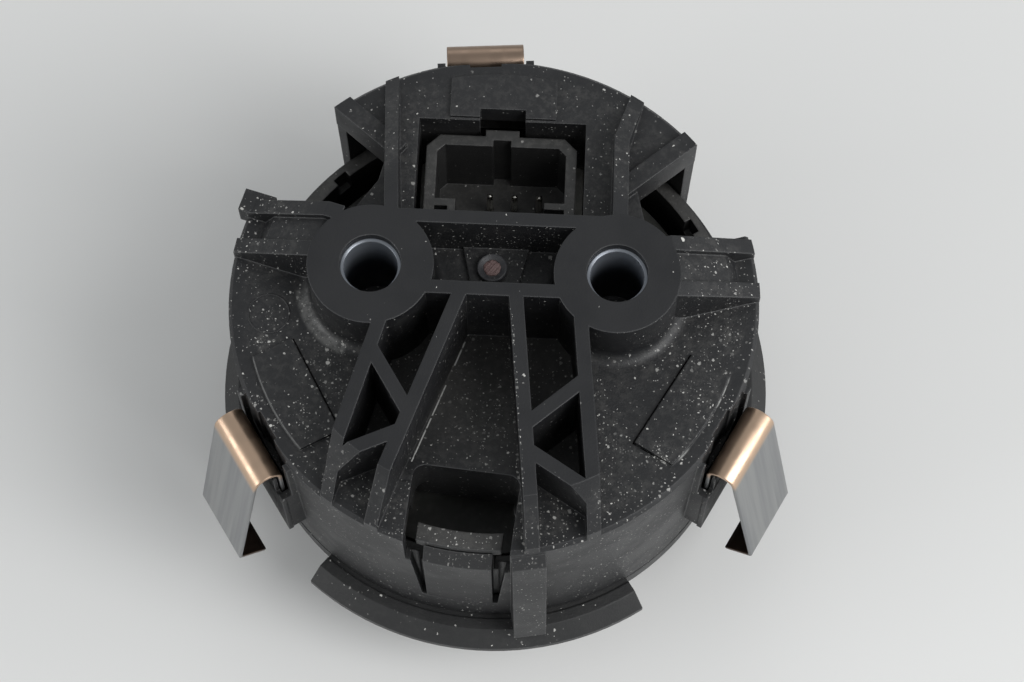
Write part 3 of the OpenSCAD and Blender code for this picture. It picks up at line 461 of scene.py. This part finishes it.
def finish(name, colour, roughness, **constants):
    """A material with one Principled shader. Gives back the material, its tree and the shader."""
    material = bpy.data.materials.new(name)
    material.use_nodes = True
    tree = material.node_tree
    shader = tree.nodes["Principled BSDF"]
    shader.inputs["Base Color"].default_value = (*colour, 1)
    shader.inputs["Roughness"].default_value = roughness
    for label, value in constants.items():
        shader.inputs[label.replace("_", " ")].default_value = value
    material.diffuse_color = (*colour, 1)
    return material, tree, shader


def place_group(tree, group, **values):
    """One use of a node group in a material, with its inputs set or linked."""
    node = tree.nodes.new("ShaderNodeGroup")
    node.node_tree = group
    for label, value in values.items():
        wire(tree, node.inputs[label.replace("_", " ")], value)
    return node.outputs


def bump(tree, height, distance, strength=1.0, normal=None):
    """A Bump node over an optional normal, given back as its output."""
    node = tree.nodes.new("ShaderNodeBump")
    wire(tree, node.inputs["Height"], height)
    node.inputs["Distance"].default_value = distance
    node.inputs["Strength"].default_value = strength
    if normal is not None:
        wire(tree, node.inputs["Normal"], normal)
    return node.outputs["Normal"]


# The near-black on the next line is painted shade, used for the thin lines along the pads' inner edges.
DUST_WHITE, FILM_GREY, PAD_SHADE_BLACK = (0.62, 0.61, 0.58, 1), (0.17, 0.165, 0.155, 1), (0.002, 0.002, 0.002, 1)
# The arc white is dust, and in places a painted highlight.
SCRATCH_WHITE, ARC_DUST_AND_HIGHLIGHT = (0.55, 0.55, 0.53, 1), (0.50, 0.50, 0.48, 1)
PLASTIC_SHINE, SHINE_LOST = 0.5, 0.42
CLOUD_SHARE, FILM_SHARE, SCRATCH_SHARE = 0.6, 0.36, 0.9
DUSTY_ROUGHNESS, GRAIN_STRENGTH = 0.9, 0.9


def edge_highlight_colour(colour):
    """The colour of the painted edge highlight: twice as bright as the plastic, and lifted a little more.
    """
    return [2.0 * c + 0.13 for c in colour]


def thin_line(tree, start, end, half):
    """The mask of a scratch between two points of the plan, in millimetres."""
    return place_group(tree, scratch, Start=on_back(start), End=on_back(end), Half_width=half * MM)["Mask"]


def moulded(name, dark, pale, roughness, grain=5200.0, grain_depth=0.00003, dust=0.0, edge=0.00022,
            edge_highlight=0.25, scratches=(), arcs=(), pad_shade_lines=()):
    """Moulded plastic: two close tones in clouds, a painted highlight on the edges, and grain. Dust,
    scratches, pale arcs of dust and painted highlight, and thin lines of painted shade lie on top if they
    are asked for."""
    material, tree, shader = finish(name, dark, roughness)
    skin = place_group(tree, mould_grain, Grain=grain)
    rim = place_group(tree, soft_edge, Radius=edge)
    colour = mixed(tree, times(tree, skin["Cloud"], CLOUD_SHARE), (*dark, 1), (*pale, 1))
    # A painted highlight on the edges, strongest on those that face the front.
    colour = mixed(tree, times(tree, rim["Edge"], edge_highlight), colour, (*edge_highlight_colour(pale), 1))
    rough = fade(tree, skin["Cloud"], 0.0, 1.0, roughness - 0.05, roughness + 0.07)
    if dust:
        fall = place_group(tree, settled_dust, Amount=dust)
        colour = mixed(tree, times(tree, fall["Film"], FILM_SHARE), colour, FILM_GREY)
        colour = mixed(tree, fall["Specks"], colour, DUST_WHITE)
        rough = maths(tree, "MAXIMUM", rough, times(tree, fall["Specks"], DUSTY_ROUGHNESS))
    for line in scratches:
        mask = times(tree, thin_line(tree, *line), SCRATCH_SHARE)
        colour = mixed(tree, mask, colour, SCRATCH_WHITE)
    # Arcs of dust and painted highlight.
    for centre, radius, start, end, half, cut, strength in arcs:
        arc = place_group(tree, dust_and_highlight_arc, Centre=on_back(centre), Radius=radius * MM, From=radians(start),
                          To=radians(end), Half_width=half * MM, Break=cut)
        colour = mixed(tree, times(tree, arc["Mask"], strength), colour, ARC_DUST_AND_HIGHLIGHT)
    shine = PLASTIC_SHINE
    # Painted shade: a dark colour and less shine along the pads' inner edges.
    for line in pad_shade_lines:
        mask = thin_line(tree, *line)
        colour = mixed(tree, mask, colour, PAD_SHADE_BLACK)
        shine = maths(tree, "SUBTRACT", shine, times(tree, mask, SHINE_LOST))
    wire(tree, shader.inputs["Specular IOR Level"], shine)
    wire(tree, shader.inputs["Base Color"], colour)
    wire(tree, shader.inputs["Roughness"], rough)
    grain_normal = bump(tree, skin["Height"], grain_depth, GRAIN_STRENGTH, rim["Normal"])
    wire(tree, shader.inputs["Normal"], grain_normal)
    return material


# %% [markdown]
# ### The black plastics
# The back shell is the dustiest. The inner cup, the connector and the front have the same black in
# other grains. The long scratches in the valley between the ribs are placed by their end points, and so
# are the thin dark lines along the inner straight edges of the pads. These lines are painted shade, where
# the pads' step shades the plate.

# %% Plastics
# A scratch and a line of painted shade are (start, end, half width). An arc of dust and painted highlight
# is (centre, radius, from and to in degrees, half width, how much it is broken, strength). Lengths are in
# millimetres.
housing_finish = moulded(
    # The last value on the next line sets how bright the painted edge highlight is.
    "housing_black", (0.0080, 0.0084, 0.0098), (0.0120, 0.0124, 0.0138), 0.50, dust=1.45, edge_highlight=0.6,
    scratches=[((-2.75, -3.1), (-3.6, -5.8), 0.1), ((-4.35, -8.2), (-7.1, -16.8), 0.09)],
    # Arcs: dust and a painted edge highlight along the pads' outer edges, then a painted highlight on the
    # left boss's foot.
    arcs=[((0, 0), 24.28, -42, -36, 0.11, 1.0, 0.7), ((0, 0), 24.28, -27, -16, 0.09, 1.0, 0.6),
          ((0, 0), 24.15, -164, -136, 0.09, 0.4, 0.22), ((-11.85, 0.6), 7.0, -178, -108, 0.8, 0.75, 0.2)],
    # The last list is painted shade along the pads' inner edges.
    pad_shade_lines=[((14.05, -14.3), (19.35, -5.1), 0.16), ((14.05, -14.3), (16.0, -15.42), 0.1),
          ((-14.1, -14.2), (-19.3, -5.1), 0.13)])
inner_finish = moulded("inner_black", (0.0080, 0.0085, 0.0095), (0.0115, 0.0120, 0.0130), 0.46, dust=0.35)
bezel_finish = moulded("bezel_black", (0.0130, 0.0130, 0.0135), (0.0180, 0.0180, 0.0185), 0.55,
                       grain=3400.0, grain_depth=0.00002)
knob_finish = moulded("knob_black", (0.0120, 0.0120, 0.0128), (0.0170, 0.0170, 0.0180), 0.52,
                      grain=3400.0, grain_depth=0.00002, edge=0.0004)
cap_finish = moulded("cap_grey", (0.0260, 0.0265, 0.0280), (0.0330, 0.0335, 0.0350), 0.32,
                     grain=7000.0, grain_depth=0.000006)
rubber_finish = moulded("grip_rubber", (0.0125, 0.0125, 0.0125), (0.0200, 0.0200, 0.0195), 0.74,
                        grain=2600.0, edge_highlight=0.4)
chip_finish = moulded("chip_black", (0.0110, 0.0110, 0.0110), (0.0160, 0.0160, 0.0160), 0.50, grain=4200.0)
board_finish = moulded("board_lacquer", (0.0085, 0.0110, 0.0095), (0.0120, 0.0150, 0.0130), 0.36,
                       grain=1500.0, grain_depth=0.00001, dust=0.12)
rotor_finish = moulded("rotor_plastic", (0.60, 0.57, 0.48), (0.68, 0.65, 0.56), 0.42, edge_highlight=0.0)
pointer_finish = moulded("pointer_white", (0.74, 0.74, 0.71), (0.80, 0.80, 0.77), 0.45, edge_highlight=0.0)
lamp_finish = moulded("lamp_body", (0.78, 0.76, 0.62), (0.85, 0.83, 0.72), 0.30, edge_highlight=0.0)
gate_finish = moulded("gate_scar", (0.085, 0.045, 0.042), (0.34, 0.24, 0.23), 0.62,
                      grain=2200.0, grain_depth=0.00008, edge_highlight=0.0)
dish_finish = moulded("gate_dish", (0.030, 0.031, 0.035), (0.060, 0.060, 0.066), 0.42, dust=0.3, edge_highlight=0.3)
mark_finish = moulded("mark_white", (0.66, 0.66, 0.64), (0.74, 0.74, 0.72), 0.55, edge_highlight=0.0)

# %% [markdown]
# ### Metals and the clear ring
# The clips are rolled strip. Their rolled top has a warm bronze tint, darkened on the rear clip by a
# painted shade for the dark surroundings that its roll reflects, and their legs are plain steel with a dark
# lip.
# The tint follows the strip's own length, which each clip carries in its UV map. The sleeves are bright at
# first and darkened a few millimetres down by a painted shade in the deep bore, and their mouth is darkened
# by a painted shade too.

# %% Metals
METAL_EDGE = 0.1 * MM


def strip_place(tree):
    """The place on a strip, from its UV map: X across the strip and Y along it, in metres."""
    source = tree.nodes.new("ShaderNodeUVMap")
    source.uv_map = "along"
    return source.outputs["UV"]


def metal(name, dark, pale, roughness, stretch=(1, 1, 0.04), lines=9000.0, depth=0.000006, from_uv=False):
    """Rolled or drawn metal: two tones in streaks, fine lines in the bump, soft edges."""
    material, tree, shader = finish(name, dark, roughness, Metallic=1.0)
    mapping = tree.nodes.new("ShaderNodeMapping")
    mapping.inputs["Scale"].default_value = stretch
    wire(tree, mapping.inputs["Vector"], strip_place(tree) if from_uv else object_place(tree))
    skin = place_group(tree, rolled_metal, Place=mapping.outputs["Vector"], Lines=lines)
    rim = place_group(tree, soft_edge, Radius=METAL_EDGE)
    colour = mixed(tree, skin["Tone"], (*dark, 1), (*pale, 1))
    rough = fade(tree, skin["Tone"], 0.0, 1.0, roughness + 0.06, roughness - 0.05)
    wire(tree, shader.inputs["Roughness"], rough)
    wire(tree, shader.inputs["Normal"], bump(tree, skin["Height"], depth, 0.5, rim["Normal"]))
    wire(tree, shader.inputs["Base Color"], colour)
    return material, tree, shader, colour


# Painted shade: the sleeve darkens down its deep bore, and its mouth is darkened too.
BORE_SHADE, MOUTH_SHADE_GREY = (0.035, 0.04, 0.05, 1), (0.09, 0.095, 0.105, 1)
BORE_SHADE_Z, MOUTH_Z = (41.3 * MM, 36.6 * MM), (41.96 * MM, 42.06 * MM)  # where each sets in and is full
sleeve_finish, tree, shader, steel = metal("sleeve_steel", (0.50, 0.54, 0.61), (0.62, 0.67, 0.74), 0.36,
                                           stretch=(0.1, 0.1, 1), lines=4200.0, depth=0.000004)
shader.inputs["Metallic"].default_value = 0.85
height = in_parts(tree, object_place(tree))["Z"]
# Painted shade down the bore.
bore_shaded = mixed(tree, fade(tree, height, *BORE_SHADE_Z), steel, BORE_SHADE)
at_mouth = fade(tree, height, *MOUTH_Z, 0.0, 0.75)
wire(tree, shader.inputs["Base Color"], mixed(tree, at_mouth, bore_shaded, MOUTH_SHADE_GREY))
pin_finish = metal("pin_plating", (0.62, 0.60, 0.55), (0.80, 0.78, 0.72), 0.26)[0]
screw_finish = metal("screw_zinc", (0.50, 0.50, 0.50), (0.66, 0.66, 0.66), 0.34)[0]
spring_finish = metal("spring_steel", (0.46, 0.47, 0.48), (0.60, 0.61, 0.62), 0.30, stretch=(0.05, 1, 1))[0]
brass_finish = metal("wiper_brass", (0.62, 0.42, 0.18), (0.76, 0.56, 0.28), 0.28)[0]

# The darkest bronze is painted shade for the rear clip's roll.
BRONZE, REAR_SHADE_BRONZE, LIP_BROWN = (0.62, 0.44, 0.31, 1), (0.13, 0.10, 0.085, 1), (0.10, 0.07, 0.055, 1)
TINT_IN, TINT_OUT = (11.0 * MM, 12.8 * MM), (17.2 * MM, 16.0 * MM)  # along the strip, from none to full
LIP_IN, REAR_CLIP_Y = (33.8 * MM, 34.4 * MM), (18.0 * MM, 22.0 * MM)  # along the strip, and along Y
clip_finish, tree, shader, steel = metal("clip_steel", (0.265, 0.27, 0.28), (0.315, 0.32, 0.32), 0.36,
                                         stretch=(1, 0.03, 1), depth=0.000002, from_uv=True)
along = in_parts(tree, strip_place(tree))["Y"]
on_roll = times(tree, fade(tree, along, *TINT_IN), fade(tree, along, *TINT_OUT))
tinted = mixed(tree, times(tree, on_roll, 0.9), steel, BRONZE)
tinted = mixed(tree, fade(tree, along, *LIP_IN), tinted, LIP_BROWN)
# Painted shade: the roll of the rear clip is darkened towards the darkest bronze.
to_rear = in_parts(tree, object_place(tree))["Y"]
rear_shade = times(tree, on_roll, fade(tree, to_rear, *REAR_CLIP_Y, 0.0, 0.6))
wire(tree, shader.inputs["Base Color"], mixed(tree, rear_shade, tinted, REAR_SHADE_BRONZE))

clear_finish, tree, shader = finish("clear_plastic", (0.86, 0.89, 0.91), 0.18,
                                    Transmission_Weight=0.85, IOR=1.49)
skin = place_group(tree, mould_grain, Grain=1800.0)
wire(tree, shader.inputs["Roughness"], fade(tree, skin["Cloud"], 0.0, 1.0, 0.12, 0.26))
wire(tree, shader.inputs["Normal"], bump(tree, skin["Height"], 0.00001, 0.4))

floor_finish, tree, shader = finish("pale_floor", (0.72, 0.72, 0.71), 0.85)
cloud = noise(tree, object_place(tree), 9.0, 3.0)
wire(tree, shader.inputs["Base Color"], mixed(tree, cloud, (0.70, 0.70, 0.69, 1), (0.74, 0.74, 0.73, 1)))
floor.data.materials.append(floor_finish)
print("finishes:", len(bpy.data.materials))

# %% [markdown]
# ## Finishes onto the solids
# The solids keep their shapes. Each one only gets its material, and the small parts that the next
# cells make again are left out here.

# %% Dress the solids
dress = {
    "rear_housing": housing_finish, "front_housing": inner_finish, "header_shroud": inner_finish,
    "circuit_board": board_finish, "board_screws": screw_finish,
    "led_left": lamp_finish, "led_right": lamp_finish, "dimmer_resistor": chip_finish,
    "sensor_chip": chip_finish, "light_guide": clear_finish,
    "front_bezel": bezel_finish, "detent_spring": spring_finish, "contact_rotor": rotor_finish,
    "contact_wiper": brass_finish, "shaft_ring": spring_finish, "knob": knob_finish,
    "knob_cap": cap_finish, "knob_pointer": pointer_finish,
}
for name, material in dress.items():
    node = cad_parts[name]
    node.data.materials.clear()
    node.data.materials.append(material)
print("dressed", len(dress), "solids")

# %% [markdown]
# ## The sleeves in the bosses
# Each boss holds a short tube with a dull plating. It could be a cylinder with a bevel, but a turned
# part is one closed outline carried round an axis, so that is how it is made: the outline is a table
# of radius and height, with a small round at each corner of the wall and a slight slope at the mouth.
# It sits a little below the face of the boss.

# %% Sleeves


def rounded_outline(corners, radius, steps=5):
    """A closed outline whose corners are rounded: at each corner a short curve blends the two sides.
    Every point of it is a weighted mean of the corner and of the points one radius before and after it."""
    corners = np.asarray(corners, float)
    before, after = np.roll(corners, 1, 0) - corners, np.roll(corners, -1, 0) - corners
    before *= radius / np.linalg.norm(before, axis=1, keepdims=True)
    after *= radius / np.linalg.norm(after, axis=1, keepdims=True)
    t = np.linspace(0, 1, steps)[None, :, None]
    curve = corners[:, None] + (1 - t) ** 2 * before[:, None] + t ** 2 * after[:, None]
    return curve.reshape(-1, 2)


def turned_part(name, outline, centre, around=96, swell=None):
    """A closed outline (radius, height) carried round a vertical axis at centre. swell, if given, adds
    to the radius as a function of outline index and angle, which draws ridges."""
    angle = np.linspace(0, 2 * np.pi, around, endpoint=False)
    radius = outline[:, 0][:, None] + (np.zeros((1, around)) if swell is None else swell(outline, angle))
    points = np.stack([centre[0] + radius * np.cos(angle), centre[1] + radius * np.sin(angle),
                       np.broadcast_to(outline[:, 1][:, None], radius.shape)], -1)
    return make_piece(name, points, grid_faces(len(outline), around, True, True))


SLEEVE_IN, SLEEVE_OUT, SLEEVE_LOW, SLEEVE_HIGH = 2.6 * MM, 2.95 * MM, 30.5 * MM, 42.15 * MM
corners = [(SLEEVE_IN, SLEEVE_LOW), (SLEEVE_OUT, SLEEVE_LOW), (SLEEVE_OUT, SLEEVE_HIGH),
           (SLEEVE_OUT - 0.08 * MM, SLEEVE_HIGH), (SLEEVE_IN, SLEEVE_HIGH - 0.1 * MM)]
wall = rounded_outline(corners, 0.035 * MM)
for side, label in ((-1, "left"), (1, "right")):
    sleeve = turned_part(f"sleeve_tube_{label}", wall, (side * BOSS_X, BOSS_Y))
    sleeve.data.materials.append(sleeve_finish)
    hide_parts(f"sleeve_{label}")
    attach(sleeve, "housing")

# %% [markdown]
# ## The spring clips
# A clip is one strip of steel. It stands against the skirt, rolls over outwards and comes down in a
# leg that flares away, with a lip turned in at its foot. The strip is a path in the radial plane with
# a flat rounded section carried along it. At each point of the path the section stands across it,
# so the strip keeps its thickness all the way round the roll.

# %% Clips
CLIP_W, CLIP_T = 7.9 * MM, 0.4 * MM
LEG_R, ROLL_R, ROLL_Z, CLIP_LOW = 26.5 * MM, 1.4 * MM, 32.5 * MM, 20.2 * MM
FLARE, LEG, LIP, LIP_TURN, BEND_R = radians(11.5), 17.4 * MM, 3.3 * MM, radians(66), 0.45 * MM


def clip_path():
    """Points (radius, height) along the middle of the strip: a straight inner leg, a roll over from
    180 degrees to the flare's own direction, a straight outer leg, a tight bend and the lip."""
    centre = np.array([LEG_R + ROLL_R, ROLL_Z])
    inner = np.stack([np.full(14, LEG_R), np.linspace(CLIP_LOW, ROLL_Z, 14, endpoint=False)], -1)
    a = np.linspace(np.pi, FLARE, 25)
    roll = centre + ROLL_R * np.stack([np.cos(a), np.sin(a)], -1)
    down = np.array([np.sin(FLARE), -np.cos(FLARE)])
    inward = np.array([-np.cos(FLARE), -np.sin(FLARE)])
    cut = BEND_R * np.tan(LIP_TURN / 2)
    outer = roll[-1] + down * np.linspace(0, LEG + ROLL_R * np.sin(FLARE) - cut, 22)[1:, None]
    b = np.linspace(0, LIP_TURN, 9)[1:, None]
    bend = outer[-1] + BEND_R * (down * np.sin(b) + inward * (1 - np.cos(b)))
    way = down * np.cos(LIP_TURN) + inward * np.sin(LIP_TURN)
    lip = bend[-1] + way * np.linspace(0, LIP - cut, 6)[1:, None]
    return np.concatenate([inner, roll, outer, bend, lip])


def strip_part(name, path, width, thickness, turn, corner=0.09 * MM):
    """A flat section with rounded corners carried along a path in the plane (radius, height), then
    turned about Z. The section's own across direction is the path's normal."""
    ahead = np.gradient(path, axis=0)
    ahead /= np.linalg.norm(ahead, axis=1, keepdims=True)
    normal = np.stack([ahead[:, 1], -ahead[:, 0]], -1)
    w, t = width / 2, thickness / 2
    section = rounded_outline([(-w, -t), (w, -t), (w, t), (-w, t)], corner, 4)
    flat = path[:, None] + normal[:, None] * section[None, :, 1, None]
    side = np.broadcast_to(section[:, 0], flat.shape[:2])
    points = np.stack([flat[..., 0] * np.cos(turn) - side * np.sin(turn),
                       flat[..., 0] * np.sin(turn) + side * np.cos(turn), flat[..., 1]], -1)
    run = np.concatenate([[0], np.cumsum(np.linalg.norm(np.diff(path, axis=0), axis=1))])
    uv = np.stack([side, np.broadcast_to(run[:, None], side.shape)], -1).reshape(-1, 2)
    rows, cols = flat.shape[:2]
    faces = grid_faces(rows, cols, False, True)
    for row in (0, rows - 1):
        ring = np.arange(cols) + row * cols
        half = cols // 2
        cap = np.stack([ring[:half - 1], ring[1:half], ring[::-1][1:half], ring[::-1][:half - 1]], -1)
        faces = np.concatenate([faces, cap if row else cap[:, ::-1]])
    return make_piece(name, points, faces, uv)


path = clip_path()
for turn, label in ((94.5, "rear"), (213.5, "left"), (332, "right")):
    clip = strip_part(f"clip_strip_{label}", path, CLIP_W, CLIP_T, radians(turn))
    clip.data.materials.append(clip_finish)
    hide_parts(f"spring_clip_{label}")
    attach(clip, "housing")

# %% [markdown]
# ## The connector pins
# A header pin is square wire with a tip pressed to a blunt point. Its section is a square with soft
# corners, drawn as a superellipse: the sum of the sixth powers of both coordinates is constant. The
# section shrinks towards the tip along a rounded curve.

# %% Pins
PIN_HALF, PIN_LOW, PIN_TIP, TIP_LENGTH = 0.32 * MM, 19.9 * MM, 28.5 * MM, 0.5 * MM
PIN_PITCH, PINS_X, PINS_Y = 2.54, 1.4, 14.5  # mm: the middle pin of the row nearer to the rear


def weld(piece, reach):
    """Joins the points of a piece that lie nearer to each other than reach, so that a tip is one point."""
    work = bmesh.new()
    work.from_mesh(piece.data)
    bmesh.ops.remove_doubles(work, verts=work.verts, dist=reach)
    work.to_mesh(piece.data)
    work.free()


def pin_part(name, centre, around=24):
    """A soft square carried up the pin. Its size is constant and then falls as a cosine at the tip."""
    angle = np.linspace(0, 2 * np.pi, around, endpoint=False)
    square = np.stack([np.cos(angle), np.sin(angle)], -1)
    square /= (np.abs(square) ** 6).sum(1, keepdims=True) ** (1 / 6)
    tip = np.linspace(0, 1, 9)
    z = np.concatenate([[PIN_LOW, PIN_LOW], PIN_TIP - TIP_LENGTH * (1 - tip)])
    size = np.concatenate([[0.0, 1.0], 0.42 + 0.58 * np.cos(tip * np.pi / 2)])
    z, size = np.append(z, PIN_TIP), np.append(size, 0.0)
    points = np.empty((len(z), around, 3))
    points[..., :2] = centre + PIN_HALF * size[:, None, None] * square
    points[..., 2] = z[:, None]
    piece = make_piece(name, points, grid_faces(len(z), around, False, True))
    weld(piece, 1e-7)
    return piece


for number in range(6):
    row, column = divmod(number, 3)
    spot = np.array([PINS_X + (column - 1) * PIN_PITCH, PINS_Y - row * PIN_PITCH]) * MM
    pin = pin_part(f"pin_wire_{number + 1}", spot)
    pin.data.materials.append(pin_finish)
    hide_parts(f"header_pin_{number + 1}")
    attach(pin, "housing")

# %% [markdown]
# ## Marks of the mould
# Where the melt entered the mould, a little stub is left between the bosses, broken off rough in a
# shallow dish. The dish is a turned part whose wall falls inwards. The scar is a low disc whose
# height is a few waves in both directions, fading to nothing at its edge. On the left of the plate
# a round insert of the mould has left a faint raised ring, which is one more turned part.

# %% Gate dish, scar and insert ring
GATE_X, GATE_Y, GATE_Z, GATE_R = -0.3 * MM, 2.8 * MM, 37.6 * MM, 0.88 * MM
INSERT_X, INSERT_Y, INSERT_R = -21.9 * MM, -2.5 * MM, 2.0 * MM
DISH = [(0.80, -0.10), (1.50, -0.55), (1.50, 0.08), (1.40, 0.22), (1.22, 0.16), (0.84, 0.02)]  # mm
RING = [(-0.12, -0.05), (0.12, -0.05), (0.07, 0.07), (-0.07, 0.07)]  # mm, off its radius and the rim
dish = rounded_outline(np.array(DISH) * MM + [0, GATE_Z], 0.04 * MM)
ring = rounded_outline(np.array(RING) * MM + [INSERT_R, RIM_Z], 0.03 * MM)
for name, outline, centre, material in (("gate_dish", dish, (GATE_X, GATE_Y), dish_finish),
                                        ("insert_ring", ring, (INSERT_X, INSERT_Y), housing_finish)):
    mark = turned_part(name, outline, centre)
    mark.data.materials.append(material)
    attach(mark, "housing")


def rough_disc(name, centre, radius, base, height, rings=26, around=72):
    """A disc in polar coordinates. Its height is a sum of waves in x and y times a dome that falls to
    zero at the edge, and its underside is flat and a little sunk."""
    turn = np.linspace(0, 2 * np.pi, around, endpoint=False)
    s, a = np.meshgrid(np.linspace(0, 1, rings), turn, indexing="ij")
    u, v = s * np.cos(a), s * np.sin(a)
    waves = 0.55 + 0.25 * np.sin(7 * u + 2 * v) * np.cos(9 * v - 1) + 0.2 * np.sin(17 * u - 13 * v + 1)
    edge = 1 + 0.04 * np.sin(5 * a) + 0.03 * np.sin(11 * a + 1)
    dome = base + height * waves * (1 - s ** 6)
    top = np.stack([centre[0] + radius * u * edge, centre[1] + radius * v * edge, dome], -1)
    low = top[::-1].copy()
    low[..., 2] = base - 0.05 * MM
    piece = make_piece(name, np.concatenate([top, low]), grid_faces(2 * rings, around, False, True))
    weld(piece, 1e-8)
    return piece


scar = rough_disc("gate_scar_disc", (GATE_X, GATE_Y), GATE_R, GATE_Z, 0.22 * MM)
scar.data.materials.append(gate_finish)
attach(scar, "housing")

# %% [markdown]
# ## The grip ring of the knob
# The soft ring round the knob has 36 ridges with round backs. A turned part with a swelling radius
# makes it: the swell is the absolute value of a cosine of the angle, raised to a power a little below
# one. It is felt only on the outer side and fades towards both ends of the ring.

# %% Grip ring
GRIP_IN, GRIP_OUT, GRIP_LOW, GRIP_HIGH = 17.42 * MM, 18.2 * MM, 0.8 * MM, 9.85 * MM
RIDGES, RIDGE_HEIGHT = 36, 0.4 * MM


def ridges(outline, angle):
    """Round ridges on the outer side: up to 0.4 mm, fading at the ends of the ring."""
    outer = np.clip((outline[:, 0] - GRIP_IN) / (GRIP_OUT - GRIP_IN), 0, 1) ** 4
    off_middle = (outline[:, 1] - (GRIP_LOW + GRIP_HIGH) / 2) / ((GRIP_HIGH - GRIP_LOW) / 2)
    middle = np.clip(1.15 - np.abs(off_middle) ** 6, 0, 1)
    return RIDGE_HEIGHT * (outer * middle)[:, None] * np.abs(np.cos(angle * RIDGES / 2))[None] ** 0.8


low_to_high = np.linspace(GRIP_LOW + 0.3 * MM, GRIP_HIGH - 0.3 * MM, 24)
outer_side = np.stack([np.full_like(low_to_high, GRIP_OUT), low_to_high], -1)
ring_outline = np.concatenate([[[GRIP_IN, GRIP_LOW], [GRIP_OUT - 0.25 * MM, GRIP_LOW]], outer_side,
                               [[GRIP_OUT - 0.25 * MM, GRIP_HIGH], [GRIP_IN, GRIP_HIGH]]])
grip = turned_part("grip_ring", ring_outline, (0, 0), around=RIDGES * 12, swell=ridges)
grip.data.materials.append(rubber_finish)
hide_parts("knob_grip")
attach(grip, "rotary")

# %% [markdown]
# ## Marks on the bezel
# The front ring shows which drive is chosen: 2H, 4H and 4L at the pointer's three places. Text is the
# easy way to letters. It is turned into a mesh at once, laid on the front face, and faces down, away
# from the back.

# %% Marks
BEZEL_FACE, MARK_R, LETTER_SIZE, LETTER_DEPTH, SUNK = 8.3 * MM, 22.9 * MM, 2.6 * MM, 0.02 * MM, 0.005 * MM
mark_names = []
for words, turn in (("2H", 90), ("4H", 130), ("4L", 170)):
    curve = bpy.data.curves.new(f"mark_{words}", "FONT")
    curve.body = words
    curve.size = LETTER_SIZE
    curve.align_x = "CENTER"
    curve.align_y = "CENTER"
    curve.extrude = LETTER_DEPTH
    letters = bpy.data.objects.new(f"mark_{words}", curve)
    mesh = bpy.data.meshes.new_from_object(letters)
    co = np.empty(len(mesh.vertices) * 3)
    mesh.vertices.foreach_get("co", co)
    co = co.reshape(-1, 3)
    a = radians(turn)
    out_way, side_way = np.array([np.cos(a), np.sin(a), 0]), np.array([np.sin(a), -np.cos(a), 0])
    laid = co[:, :1] * -side_way + (co[:, 1:2] + MARK_R) * out_way
    laid[:, 2] = BEZEL_FACE - co[:, 2] - SUNK
    mesh.vertices.foreach_set("co", laid.ravel())
    mesh.update()
    bpy.data.objects.remove(letters)
    mark = bpy.data.objects.new(f"bezel_mark_{words}", mesh)
    bpy.context.collection.objects.link(mark)
    mark.data.materials.append(mark_finish)
    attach(mark, "housing")
    mark_names.append(mark.name)
print("marks:", mark_names)
